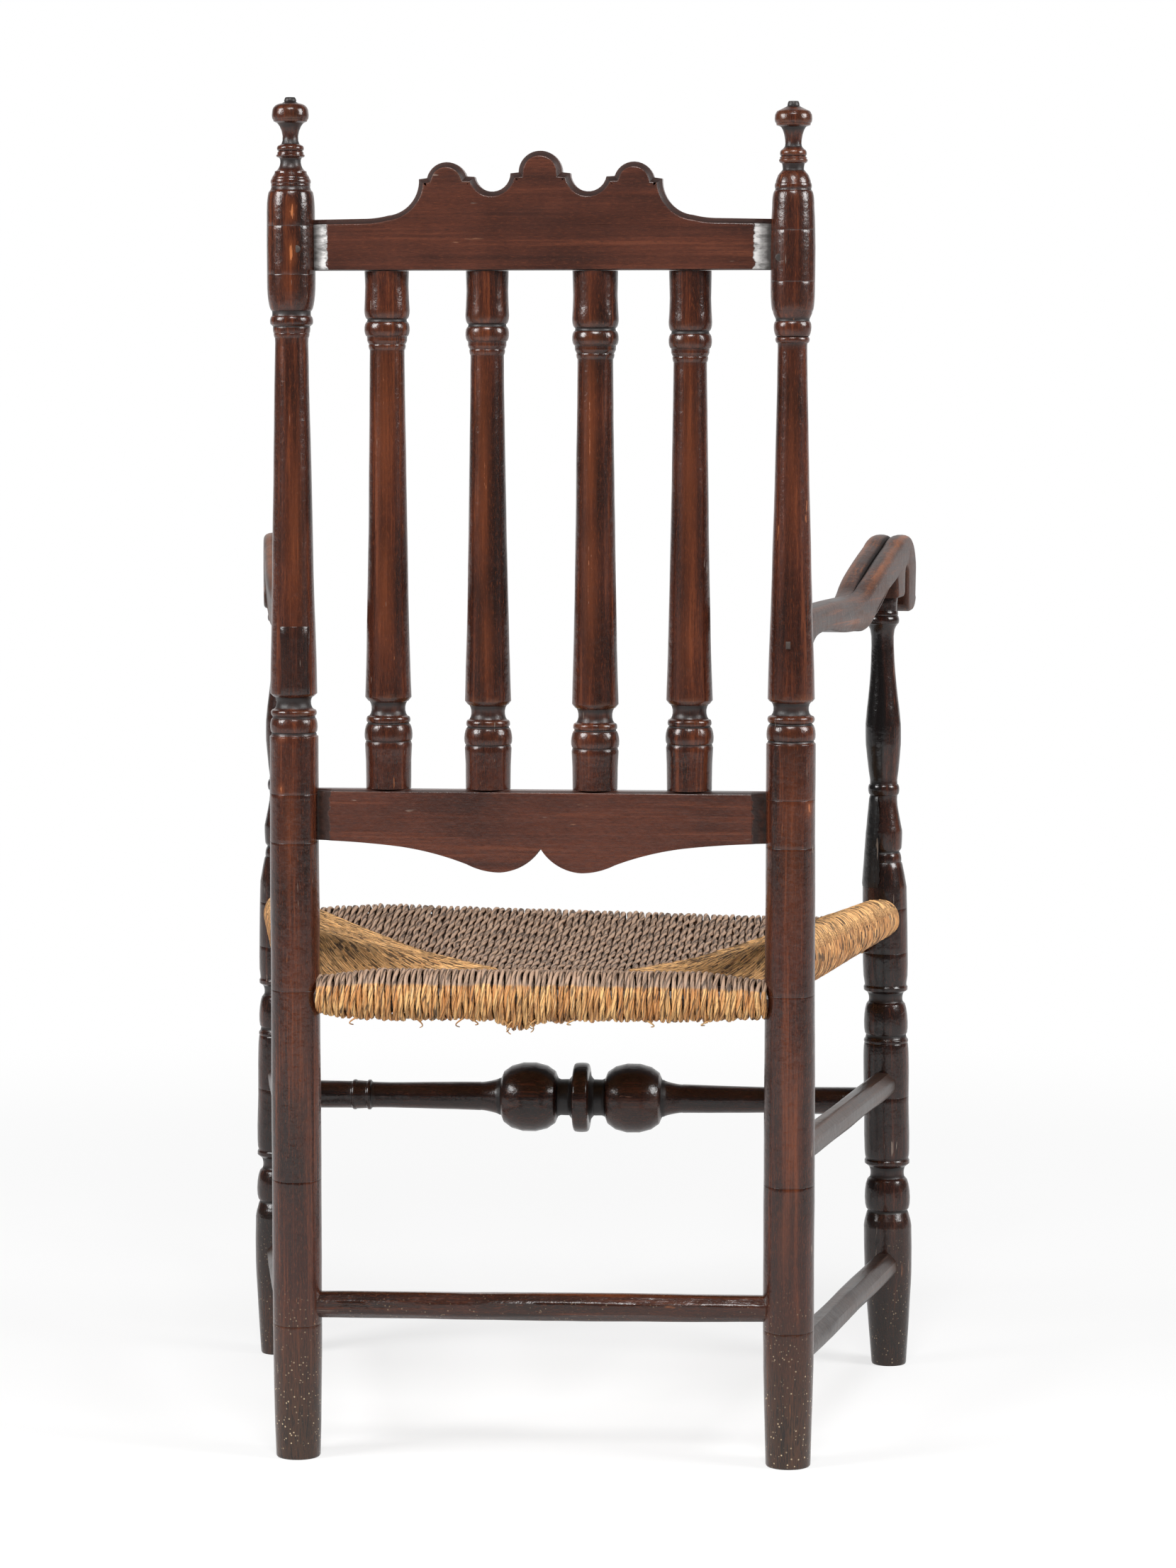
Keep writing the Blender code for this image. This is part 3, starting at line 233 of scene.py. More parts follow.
def stained_wood(name, tones, grime=0.5, gloss=0.34, sheen=0.45, specks=0.0, scraped=None):
    """Old stained and varnished wood. Its tones are for pores, body, warm streaks and where it is rubbed.

    The grain runs along the z of the stored grain place. Worn is above 0 where the wood is rubbed warm and
    bare and below 0 where it has blackened. Scraped is for ends that are scraped on the back face: how far
    from the middle in metres, the grain's x at that face, and the ends' three tones.
    """
    deep, middle, warm, rubbed = solid(tones)
    finish = Finish(name, middle)
    place = finish.stored("grain", 1)
    edge = finish.stored("edge")
    worn = finish.stored("worn")

    def streaks(across, along, shift=(0.0, 0.0, 0.0), detail=3.0, roughness=0.6, distortion=0.0):
        stretched = finish.stretched(place, (across, across, along), shift)
        return finish.mottle(stretched, 1.0, detail, roughness, distortion)

    fibre = streaks(420.0, 9.0)
    band = streaks(75.0, 3.0, (0.0, 0.0, 0.0), 2.0, 0.5, 0.6)
    flecks = streaks(900.0, 70.0, (0.0, 0.0, 0.0), 2.0)
    cloud = finish.mottle(place, 9.0)
    patch = streaks(38.0, 11.0, (3.1, 1.7, 0.4), 4.0)
    pores = streaks(1500.0, 190.0, (1.3, 0.2, 0.9), 2.0)
    scrape = streaks(150.0, 22.0, (0.4, 2.2, 5.1))
    scratch = finish.mottle(finish.stretched(place, (300.0, 120.0, 26.0), (7.0, 1.0, 2.0)), 1.0, 2.0, 0.5)
    # How sunk a place is. Sunk places are darkened as painted shade: the hollows of the turnings, the
    # scribed lines and the arm's valley, and the same darkening lies on the rails' chamfers. Patches of
    # grime add real dirt.
    hollow = (edge * -1.0).clamped()
    tone = (band * 0.6 + cloud * 0.75 + fibre * 0.3 - 0.36).clamped()
    glow = (worn * 1.3).clamped() * (0.35 + band * 0.5 + (fibre - 0.5) * 0.6).clamped()
    grime_and_hollow_shade = (hollow * hollow * 1.5 + (patch - 0.56).clamped() * 2.2 * grime).clamped()
    rubbing = (edge.clamped() * patch.between(0.47, 0.67)).clamped()
    chip = scrape.between(0.70, 0.74) * cloud.between(0.42, 0.6)
    torn = worn * 1.1 + (scrape - 0.5) * 1.6 + (fibre - 0.5) * 1.8 + (pores - 0.5) * 1.2 - 1.05
    torn = torn.between(0.0, 0.3)
    bare = (rubbing * 0.13 + chip * 0.6 + torn * 0.9).clamped()
    pale = scratch.between(0.735, 0.77)
    colour = finish.layered(
        deep,
        (tone.between(0.2, 0.66), middle),
        ((fibre * band).between(0.27, 0.42) * 0.5, warm),
        (flecks.between(0.54, 0.70) * 0.45, deep),
        (pores.between(0.55, 0.68) * 0.55, deep),
        (pores.between(0.45, 0.32) * 0.35, warm),
        (glow * 0.9, warm),
        # Near black: painted shade in sunk places, and real grime
        (grime_and_hollow_shade * 0.9, (0.006, 0.0038, 0.0034, 1)),
        (bare, rubbed),
        (pale * 0.45, (0.26, 0.20, 0.16, 1)),
    )
    if specks:
        low = finish.stored("soil")
        foot = (low * (0.35 + cloud * 0.8) + (band - 0.5) * low).clamped()
        grains = finish.node("TexVoronoi", {}, {"Vector": place, "Scale": 260.0, "Randomness": 1.0})
        spread = finish.mottle(place, 60.0).between(0.40, 0.58)
        spots = (0.22 - grains).between(0.0, 0.07) * low * spread
        colour = finish.layered(
            colour,
            (foot * (0.75 * specks), (0.052, 0.030, 0.017, 1)),
            (low * flecks.between(0.5, 0.62) * 0.8, (0.010, 0.007, 0.006, 1)),
            (spots * specks, (0.50, 0.38, 0.24, 1)),
        )
    tarred = (worn * -1.0 + (patch - 0.5) * 0.5).between(0.3, 0.6)
    colour = finish.layered(colour, (tarred * 0.95, (0.005, 0.0042, 0.0042, 1)))
    shine = gloss + fibre * 0.1 + grime_and_hollow_shade * 0.25 + bare * 0.2 + (cloud - 0.5) * 0.16 - tarred * 0.05
    pits = finish.mottle(place, 420.0, 2.0, 0.6)
    relief = fibre * 0.4 + flecks * 0.35 + scrape * 0.5 - pale * 0.5 - chip * 0.4 - torn * 0.5 + pits * 0.35
    if scraped:
        reach, back, bared = scraped
        shaded, grey, bright = solid(bared)
        wander = finish.mottle(finish.stretched(place, (0.0, 90.0, 0.0)), 1.0, 3.0, 0.6)
        beyond = finish.part(place, 2).maths("ABSOLUTE") + (wander - 0.5) * 0.011 - reach
        back_face = (finish.part(place, 0) - back).between(-0.0008, -0.0004)
        bare_end = beyond.between(0.0, 0.0009) * back_face
        rim = beyond.between(0.0004, 0.0020) * (1 - beyond.between(0.0040, 0.0085))
        smear = finish.mottle(finish.stretched(place, (30.0, 160.0, 60.0)), 1.0, 4.0, 0.65)
        end_colour = finish.layered(
            shaded,
            (smear.between(0.30, 0.66), grey),
            (rim * smear.between(0.40, 0.60) * 0.8, bright),
            # Darkest next to the post: a painted shadow of the post on the scraped end.
            (beyond.between(0.0085, 0.0135) * 0.85, (0.035, 0.032, 0.030, 1)),
        )
        colour = finish.layered(colour, (bare_end, end_colour))
        relief = relief + smear * bare_end * 1.4
    normal = finish.bump(relief, 0.00022, 0.8)
    normal = finish.bump(finish.mottle(place, 95.0, 3.0, 0.6), 0.0011, 0.5, normal)
    sockets = {"Base Color": colour, "Roughness": shine.clamped(), "Normal": normal}
    sockets["Specular IOR Level"] = sheen
    return finish.done(sockets)


def rush_finish(name, tones, gaps=0.0):
    """Twisted and flattened rush. Its tones are gold, straw, dun for where it has aged, and shade.

    Stored numbers: aged is 1 where it has gone grey, across counts round a strand, along is the way along
    it in metres and strand tells one from another.
    """
    gold, straw, dun, shade = solid(tones)
    finish = Finish(name, gold)
    along, across, strand, aged = [finish.stored(key) for key in ("along", "across", "strand", "aged")]
    place = finish.place()

    def flow(x, y, z, detail=2.0, roughness=0.6):
        return finish.mottle(finish.node("CombineXYZ", {}, {0: x, 1: y, 2: z}), 1.0, detail, roughness)

    leaf = flow(across * 3.0 + strand * 91.0, along * 30.0, strand * 57.0, 3.0)
    fibre = flow(across * 14.0 + along * 210.0 + strand * 31.0, along * 45.0, strand * 17.0)
    dash = flow(strand * 77.0 + across * 5.0, along * 62.0, strand * 23.0, 2.0, 0.5).between(0.57, 0.66)
    # Gap marks dark streaks along single strands: painted shade for gaps between strands, weighted by gaps.
    gap = flow(strand * 131.0, along * 75.0, strand * 47.0, 1.0, 0.5).between(0.58, 0.62)
    cloud = finish.mottle(place, 24.0, 3.0, 0.6)
    blotch = finish.mottle(place, 120.0, 3.0, 0.6)
    ply = (across * 2.0 - 0.25 + leaf * 0.12).wave()
    slant = (across * 5.0 + along * 24.0 + leaf * 1.6).wave()
    groove = (ply**5.0) * aged + (slant**9.0) * (1 - aged)
    # Painted shade in the twist grooves and the painted gaps, with dark fibres and dashes, all in the shade
    # tone.
    furrow = (groove * 0.95 + (0.46 - fibre).clamped() * 4.0 + dash * 0.8 + gap * gaps).clamped()
    glint = fibre.between(0.62, 0.72) * (1 - aged * 0.75)
    colour = finish.layered(
        gold,
        ((leaf + (strand - 0.5) * 0.5).between(0.34, 0.66), straw),
        (blotch.between(0.5, 0.72) * 0.55, (0.30, 0.115, 0.032, 1)),
        ((aged + (cloud - 0.5) * 0.8 + (blotch - 0.5) * 0.4).between(0.35, 0.7), dun),
        (furrow * 0.9, shade),
        (glint * 0.6, (0.80, 0.62, 0.36, 1)),
    )
    normal = finish.bump(fibre * 0.5 + leaf * 0.4 - groove * 1.2, 0.0006, 0.9)
    return finish.done({"Base Color": colour, "Roughness": 0.5 + leaf * 0.2, "Normal": normal})


def board_finish(name, number, bared):
    tones = ((0.026, 0.0085, 0.0056), (0.075, 0.02, 0.01), (0.125, 0.036, 0.016), (0.26, 0.12, 0.06))
    scraped = (0.1885, RAIL_BACK * MM + number * BOARD_SHIFT, bared)
    return stained_wood(name, tones, grime=0.3, gloss=0.26, scraped=scraped)


WALNUT = stained_wood(
    "walnut_stain",
    ((0.01, 0.004, 0.003), (0.054, 0.0135, 0.0066), (0.15, 0.039, 0.013), (0.36, 0.115, 0.034)),
    gloss=0.17,
    specks=1.0,
)
SCRAPED_TONES = ((0.15, 0.145, 0.14), (0.42, 0.41, 0.40), (0.72, 0.70, 0.68))
DULL_TONES = ((0.020, 0.012, 0.010), (0.055, 0.026, 0.019), (0.018, 0.010, 0.009))
CREST = board_finish("crest_stain", CREST_NUMBER, SCRAPED_TONES)
LOWER = board_finish("lower_stain", LOWER_NUMBER, DULL_TONES)
DARK = stained_wood(
    "dark_stain",
    ((0.005, 0.003, 0.0027), (0.026, 0.0085, 0.0056), (0.085, 0.0235, 0.010), (0.18, 0.07, 0.033)),
    gloss=0.17,
    specks=0.4,
)
HEWN = stained_wood(
    "hewn_stain",
    ((0.012, 0.008, 0.007), (0.040, 0.022, 0.016), (0.10, 0.045, 0.024), (0.20, 0.15, 0.12)),
    grime=0.9,
    gloss=0.30,
)
ARM_WOOD = stained_wood(
    "arm_stain",
    ((0.009, 0.0045, 0.0036), (0.045, 0.015, 0.0085), (0.23, 0.072, 0.023), (0.30, 0.110, 0.040)),
    grime=0.8,
    gloss=0.36,
    sheen=0.28,
)
BLACK = stained_wood(
    "black_repair",
    ((0.0035, 0.0032, 0.0034), (0.010, 0.0085, 0.0085), (0.022, 0.014, 0.012), (0.07, 0.06, 0.055)),
    grime=0.8,
    gloss=0.22,
)
PEG_WOOD = stained_wood(
    "peg_end_grain",
    ((0.010, 0.008, 0.007), (0.045, 0.032, 0.026), (0.09, 0.06, 0.045), (0.16, 0.13, 0.11)),
    grime=0.9,
    gloss=0.5,
)
RUSH = rush_finish(
    "woven_rush",
    ((0.53, 0.225, 0.064), (0.80, 0.47, 0.185), (0.41, 0.268, 0.182), (0.030, 0.015, 0.008)),
)
# The rush of the side gores: the same rush in lighter tones as painted light, with painted shade in gaps
# between its strands.
RUSH_SIDE_PAINTED_LIGHT = rush_finish(
    "woven_rush_side_painted_light",
    ((0.56, 0.255, 0.085), (0.98, 0.55, 0.22), (0.40, 0.27, 0.175), (0.045, 0.022, 0.011)),
    gaps=0.9,
)
RUSH_SHADE = rush_finish(
    "rush_in_shade",
    ((0.035, 0.016, 0.007), (0.055, 0.028, 0.012), (0.030, 0.019, 0.013), (0.010, 0.006, 0.004)),
)


# Skins

SOIL_MOST = 1.2
SOIL_HEIGHT = 0.14
ROUND_STEPS = 7
STRAIGHT_STEP = 6
CORNER_ANGLE = 0.38
SCRIBE_HALF = 0.3
SCRIBE_DEPTH = 0.12
EDGE_STEP = 1.7
EDGE_FULL = 1.1
SPOT_STEP = 6.0


def stored_numbers(mesh, name, values):
    mesh.attributes.new(name, "FLOAT", "POINT").data.foreach_set("value", values)


def skin(name, node, rings, finish, sharp=38, cuts=(), bent=None):
    """A closed skin through rings of equal count that replaces a node of the CAD.

    Each point of a ring is (place, grain, edge, worn), with its place in the grain in metres. Cuts are
    places along X where the skin is divided, and bent moves a point after that. Corners over sharp degrees
    stay sharp.
    """
    count = len(rings[0])
    places, grain, edge, worn = zip(*[point for ring in rings for point in ring])
    places = [place * MM for place in places]
    faces = []
    for start in range(0, len(places) - count, count):
        for index in range(count):
            after = (index + 1) % count
            faces.append((start + index, start + after, start + count + after, start + count + index))
    faces.append(tuple(reversed(range(count))))
    faces.append(tuple(range(len(places) - count, len(places))))
    mesh = bpy.data.meshes.new(name)
    mesh.from_pydata(places, [], faces)
    flat_grain = [part for vector in grain for part in vector]
    mesh.attributes.new("grain", "FLOAT_VECTOR", "POINT").data.foreach_set("vector", flat_grain)
    stored_numbers(mesh, "edge", edge)
    stored_numbers(mesh, "soil", [clamped(SOIL_MOST - place.z / SOIL_HEIGHT) for place in places])
    stored_numbers(mesh, "worn", worn)
    mesh.materials.append(finish)
    shell = bmesh.new()
    shell.from_mesh(mesh)
    bmesh.ops.remove_doubles(shell, verts=shell.verts, dist=0.002 * MM)
    bmesh.ops.recalc_face_normals(shell, faces=shell.faces)
    for x in cuts:
        parts = shell.verts[:] + shell.edges[:] + shell.faces[:]
        bmesh.ops.bisect_plane(shell, geom=parts, plane_co=(x * MM, 0, 0), plane_no=(1, 0, 0))
    if bent:
        for vert in shell.verts:
            bent(vert)
    for face in shell.faces:
        face.smooth = True
    shell.to_mesh(mesh)
    shell.free()
    mesh.set_sharp_from_angle(angle=math.radians(sharp))
    piece = added(name, mesh)
    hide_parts(node)
    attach(piece, "root")
    return piece


def member(start, radius, end, end_radius, bend=0):
    """Points (height, radius) of one turned member, without its start.

    Bend is 0 for a straight taper, "out" or "in" for a quarter round, or how far its middle swells.
    """
    steps = ROUND_STEPS if bend else max(1, round(abs(end - start) / STRAIGHT_STEP))
    points = []
    for step in range(1, steps + 1):
        share = step / steps
        quarter = math.pi / 2 * share
        along, grown, offset = share, share, 0
        if bend == "out":
            along, grown = 1 - math.cos(quarter), math.sin(quarter)
        elif bend == "in":
            along, grown = math.sin(quarter), 1 - math.cos(quarter)
        elif bend:
            along = (1 - math.cos(math.pi * share)) / 2
            grown = along
            offset = bend * math.sin(math.pi * share)
        points.append((start + (end - start) * along, radius + (end_radius - radius) * grown + offset))
    return points


def profile(members, scribes=(), worn_by=0.3):
    """Points of a turning: a start, then members (end height, end radius, bend), and scribed lines."""
    points = [members[0]]
    for end, radius, *bend in members[1:]:
        points += member(*points[-1], end, radius, *bend)
    points = eased(points, worn_by)
    for height in scribes:
        radius = radius_at(points, height)
        points = [point for point in points if abs(point[0] - height) > 0.5]
        points += [(height - SCRIBE_HALF, radius), (height + SCRIBE_HALF, radius)]
        points.append((height, radius - SCRIBE_DEPTH))
        points.sort()
    return points


def eased(points, reach):
    """The same outline with its sharp corners rubbed round."""
    result = [points[0]]
    for before, point, after in zip(points, points[1:], points[2:]):
        first = Vector((point[0] - before[0], point[1] - before[1]))
        second = Vector((after[0] - point[0], after[1] - point[1]))
        if first.length < 0.01 or second.length < 0.01 or first.angle(second) < CORNER_ANGLE:
            result.append(point)
            continue
        corner = Vector(point)
        low = corner - first.normalized() * min(reach, first.length * 0.4)
        high = corner + second.normalized() * min(reach, second.length * 0.4)
        middle = (low + high) / 4 + corner / 2
        result += [tuple(low), tuple(middle), tuple(high)]
    result.append(points[-1])
    return result


def radius_at(points, height):
    for lower, upper in zip(points, points[1:]):
        if lower[0] <= height <= upper[0] and upper[0] > lower[0]:
            share = (height - lower[0]) / (upper[0] - lower[0])
            return lower[1] + (upper[1] - lower[1]) * share
    return points[-1][1]


def edge_values(points):
    """For each point, how proud (to 1) or sunk (to -1) it lies against what is near it."""
    values = []
    for height, radius in points:
        total, weight = 0.0, 0.0
        for step in range(-4, 5):
            near = height + step * EDGE_STEP
            if points[0][0] <= near <= points[-1][0]:
                share = 5 - abs(step)
                total += radius_at(points, near) * share
                weight += share
        values.append(max(-1.0, min(1.0, (radius - total / weight) / EDGE_FULL)))
    for index in range(1, len(points) - 1):
        lower, point, upper = points[index - 1 : index + 2]
        if upper[0] - lower[0] < 0.7 and min(lower[1], upper[1]) - point[1] > 0.1:
            values[index] = -1.0
    return values


def spaced(points, step):
    """The same outline with a point at least every step along it."""
    result = [points[0]]
    for before, after in zip(points, points[1:]):
        pieces = max(1, math.ceil((after[0] - before[0]) / step))
        for piece in range(1, pieces + 1):
            share = piece / pieces
            height = before[0] + (after[0] - before[0]) * share
            result.append((height, before[1] + (after[1] - before[1]) * share))
    return result


def wear_at(spots, height, degrees):
    """How worn, or below 0 how blackened, a turning is there."""
    worn = 0.0
    for middle, facing, tall, wide, strength in spots:
        distance = ((height - middle) / tall) ** 2 + ((degrees - facing) / wide) ** 2
        if strength < 0:
            worn = min(worn, strength * math.exp(-distance * distance))
        else:
            worn = max(worn, strength * math.exp(-distance))
    return worn


def turned(
    node, points, finish, start, end, number, sides=56, lean=0.0, half=False, shape=None, sharp=38, spots=()
):
    """A turning from start to end. Half leaves a flat at its front, and shape alters its radius.

    Each spot is a rubbed place: height, angle round the turning, half height, half width and strength,
    which is below zero where the wood is blackened instead.
    """
    axis = (end - start).normalized()
    upright = abs(axis.z) > 0.9
    turn = Matrix.Identity(3) if upright else axis.to_track_quat("Z", "X").to_matrix()
    count = sides + 1 if half else sides
    shift = Vector((number * 0.371, number * 0.173, number * 0.719))
    if spots:
        points = spaced(points, SPOT_STEP)
    rings = []
    for (height, radius), value in zip(points, edge_values(points)):
        ring = []
        for index in range(count):
            angle = (math.pi if half else 2 * math.pi) * index / sides
            worn = wear_at(spots, height, math.degrees(angle))
            unit = Vector((math.cos(angle), math.sin(angle), 0))
            sample = Vector((unit.x * 0.6, unit.y * 0.6, height / 70 + number * 5.3))
            reach = radius + noise.noise(sample) * 0.32 + noise.noise(sample * 3.1) * 0.1
            if shape:
                reach = shape(reach, angle, height)
            place = start + turn @ Vector((unit.x * reach + lean * height, unit.y * reach, height))
            grain = Vector((unit.x * reach, unit.y * reach, height)) * MM + shift
            ring.append((place, grain, value, worn))
        rings.append(ring)
    skin(node + "_fine", node, rings, finish, sharp)


# Turned posts: a start, then (height, radius) for a straight taper. A third value is a quarter round out or
# in, or how far the member swells.

LEFT_TURNING = (
    (0.0, 19.4), (1.2, 20.1), (30, 21.0), (95, 22.2), (300, 22.3), (510, 22.0), (656.0, 21.8),
    (656.8, 20.6), (659.5, 19.8), (672.5, 19.2, 1.7), (674.6, 19.1), (680.0, 19.0, 1.5),
    (692.0, 18.2, -3.3), (694.6, 21.0), (715, 20.7), (749, 19.9), (800, 18.6), (851, 17.7), (919, 16.5),
    (987, 15.1), (1006.6, 14.6), (1011, 14.8), (1015, 15.6, 0.45), (1020.8, 16.1, 0.6), (1022.4, 17.8),
    (1030.2, 17.3, 1.5), (1032, 17.0), (1034.6, 17.1), (1060, 21.4, "out"), (1090, 21.5), (1122, 21.3),
    (1140.2, 18.9, "in"), (1141.2, 18.0), (1143.8, 17.1), (1146.6, 17.1, 0.3), (1151.2, 16.6, 0.9),
    (1153.6, 15.6, 0.3), (1156, 14.2), (1157.6, 14.1), (1170, 11.2, -3.4), (1172.4, 11.6, 1.2),
    (1174.2, 11.6), (1175.6, 10.4), (1180.6, 9.8, 1.8), (1201, 13.6, -4.6), (1201.4, 14.6), (1203, 15.1),
    (1207.2, 16.2, "out"), (1210, 15.9), (1217.2, 7.6, "in"), (1218.6, 5.0), (1222.6, 3.8, 0.7),
)
RIGHT_TURNING = (
    (0.0, 19.6), (1.2, 20.3), (30, 21.1), (60, 22.0), (90, 22.7), (240, 23.0), (360, 22.7), (510, 22.1),
    (652.4, 21.9), (653.4, 20.8), (655.2, 20.1), (669.6, 18.9, 2.2), (670.8, 18.6), (677.2, 18.9, 2.2),
    (690, 18.9, -3.4), (692.3, 20.8), (715, 20.4), (732, 19.9), (766, 18.7), (800, 17.6), (834, 16.7),
    (885, 15.3), (919, 14.6), (953, 14.0), (1005, 13.1), (1006.2, 13.4), (1011.8, 13.8, 1.6),
    (1025.4, 14.9, 2.2), (1027.2, 14.8), (1031.5, 16.9), (1034.5, 17.6), (1056, 19.5, "out"), (1090, 19.9),
    (1114, 19.4), (1126, 18.7), (1139.6, 16.1, "in"), (1141.2, 15.7), (1146, 15.6, 0.65), (1148.5, 15.1),
    (1153, 13.4), (1156, 10.9), (1157.4, 9.5), (1163.2, 10.2, -0.4), (1167, 11.6, 1.6), (1168.2, 12.0),
    (1169.6, 10.6), (1175.2, 9.9, 1.5), (1177, 8.2), (1195.2, 11.6, -2.2), (1196.3, 14.9), (1198.2, 15.2),
    (1202.2, 16.5, "out"), (1205.5, 16.2), (1208.5, 14.6), (1210, 11.3), (1213, 5.2), (1217.2, 4.2, 0.4),
)
FRONT_TURNING = (
    (0.0, 16.6), (1.5, 17.2), (14, 18.1), (32, 19.4), (56, 20.9), (80, 22.4), (92, 23.0), (116, 23.5),
    (137, 23.5), (146.5, 21.9, 0.35), (151.5, 20.7), (153.4, 19.6), (154.6, 19.6), (186.5, 18.0, 3.5),
    (198.5, 18.8, -1.9), (201.2, 22.2), (204.4, 22.2), (205.6, 21.3), (207.2, 21.2), (219, 22.3, "out"),
    (230, 22.5), (262, 22.0), (291, 22.4), (304, 22.3), (321.6, 21.1, "in"), (322.6, 21.8), (324.6, 21.7),
    (326, 20.5), (328.4, 19.7), (329.6, 19.7), (361.5, 17.8, 2.75), (371.8, 18.8, -1.7), (373.8, 21.6),
    (377, 21.8), (378.6, 20.7), (380.6, 20.8), (388, 21.8), (400, 22.1), (440, 22.0), (476, 21.6),
    (490, 19.3), (498.7, 17.6), (500.7, 16.4), (509.2, 15.4, 0.8), (510.6, 14.6), (513.5, 16.8),
    (532, 17.7, 0.4), (540, 16.1), (548, 14.6), (556, 13.3), (562, 12.9), (566.2, 13.2), (577, 13.4, 1.9),
    (581, 13.2), (590, 14.5), (602, 15.8), (614, 16.9), (638, 17.0, 0.35), (650, 15.95), (662, 14.5),
    (674, 13.2), (686, 12.2), (698, 11.5), (713, 11.0), (722, 11.1), (728.5, 12.0), (731, 13.0),
    (734.2, 15.2), (742.2, 15.0, 1.5), (747.6, 14.5, 0.9), (759.7, 15.4), (760.4, 9.0), (782, 9.0),
)
LEFT_SCRIBES = (122.8, 254.7, 427.6, 561.2, 604.8, 1066.8, 1109.5)
RIGHT_SCRIBES = (124.0, 256.0, 427.6, 560.0, 603.0, 1060.0, 1105.0)
FRONT_SCRIBES = (268.0, 411.0, 455.0)
LEFT_SPOTS = (
    (1122, 99, 9, 11, 1.2), (1086, 100, 13, 10, 1.2), (1060, 92, 14, 22, 0.4), (840, 106, 90, 24, 0.55),
    (570, 86, 60, 18, 0.4), (609, 66, 6, 9, 1.2), (655, 70, 3, 12, 1.0), (395, 106, 90, 20, 0.35),
)
RIGHT_SPOTS = (
    (900, 92, 90, 20, 0.4), (596, 141, 7, 12, 1.25), (560, 96, 90, 22, 0.45), (300, 98, 60, 18, 0.5),
    (210, 84, 40, 14, 0.45),
)
SUPPORT_SPOTS = ((650, 40, 110, 62, -1.0), (530, 30, 60, 50, -0.9))

front_points = profile(FRONT_TURNING, FRONT_SCRIBES)
POSTS = (
    (1, "left", 1, profile(LEFT_TURNING, LEFT_SCRIBES), LEFT_SPOTS),
    (-1, "right", 2, profile(RIGHT_TURNING, RIGHT_SCRIBES), RIGHT_SPOTS),
)
for side, word, number, rear_points, spots in POSTS:
    foot = rear_axis(side, 0)
    turned("rear_post_" + word, rear_points, WALNUT, foot, foot + UP, number, spots=spots)
    foot = front_axis(side, 0)
    lean = -side * FRONT_LEAN
    spots = SUPPORT_SPOTS if side < 0 else ()
    turned("front_post_" + word, front_points, DARK, foot, foot + UP, number + 2, lean=lean, spots=spots)


# Banisters: x, how much higher the lower turning sits, height of the upper groove and girth at the top

BANISTERS = (
    (138.2, 2.5, 1026.7, 1.0), (48.6, -0.5, 1022.3, 0.955), (-47.5, -2.8, 1018.7, 1.02),
    (-131.7, 1.2, 1016.0, 0.95),
)
BANISTER_SPOTS = (
    ((930, 84, 80, 26, 0.7), (790, 86, 60, 22, 0.7)),
    ((900, 80, 110, 22, 0.65), (740, 92, 40, 22, 0.5)),
    ((930, 78, 90, 22, 0.8), (800, 80, 70, 20, 0.7)),
    ((880, 92, 110, 24, 0.6), (740, 84, 40, 22, 0.5)),
)
GIRTH_FROM = 700
GIRTH_OVER = 300
for number, (x, shift, groove, girth) in enumerate(BANISTERS, 1):
    column = groove - 26.5
    members = (
        (609.4, 20.1),
        (632 + shift, 20.3),
        (646.5 + shift, 21.0),
        (648.6 + shift, 20.3),
        (649.6 + shift, 20.0),
        (665 + shift, 18.6, 2.1),
        (666 + shift, 18.6),
        (671.6 + shift, 18.2, 1.3),
        (685.5 + shift, 18.2, -3.1),
        (688.8 + shift, 20.8),
        (705, 20.3),
        (735, 19.4),
        (795, 18.2),
        (855, 17.2),
        (915, 16.4),
        (column, 15.5),
        (column + 4.5, 16.4, 0.5),
        (column + 5.2, 16.2),
        (column + 8.5, 17.8, 0.2),
        (column + 12, 17.9),
        (column + 25, 17.9, 2.3),
        (groove, 17.5),
        (groove + 1, 17.7),
        (groove + 9, 20.3, "out"),
        (groove + 18, 19.8),
        (groove + 30, 19.4),
        (1069.9, 19.9),
    )
    points = []
    for height, radius in profile(members):
        share = clamped((height - GIRTH_FROM) / GIRTH_OVER)
        points.append((height, radius * (1 + (girth - 1) * share)))
    foot = Vector((x, REAR_Y - 9, 0))
    name = "banister_" + str(number)
    spots = BANISTER_SPOTS[number - 1]
    turned(name, points, WALNUT, foot, foot + UP, number + 4, 40, half=True, spots=spots)


# Boards: the crest rail and the lower back rail. Their outlines are rows of x, height and bulge.


def arc(start, end, bulge, steps):
    """Points from start to end along an arc. Bulge is the tangent of a quarter of its angle."""
    if not bulge:
        pieces = max(1, round((end - start).length / 7))
        return [start.lerp(end, step / pieces) for step in range(1, pieces + 1)]
    chord = end - start
    across = Vector((-chord.y, chord.x))
    centre = (start + end) / 2 + across * (bulge * bulge - 1) / (4 * bulge)
    arm = start - centre
    points = []
    for step in range(1, steps + 1):
        angle = -4 * math.atan(bulge) * step / steps
        points.append(centre + Matrix.Rotation(angle, 2) @ arm)
    return points


def outline(corners, steps):
    points = [Vector(corners[0][:2])]
    for x, z, bulge in corners[1:]:
        points += arc(points[-1].copy(), Vector((x, z)), bulge, steps)
    return points


def mirrored(points):
    return [Vector((-point.x, point.y)) for point in reversed(points[1:])] + points


def moved(points, distances):
    """A closed outline after each of its points has moved inwards by its own distance."""
    result = []
    count = len(points)
    for index, point in enumerate(points):
        first = (point - points[index - 1]).normalized()
        second = (points[(index + 1) % count] - point).normalized()
        across = Vector((first.y + second.y, -first.x - second.x))
        result.append(point + across * distances[index] / max(0.35, 1 + first.dot(second)))
    return result


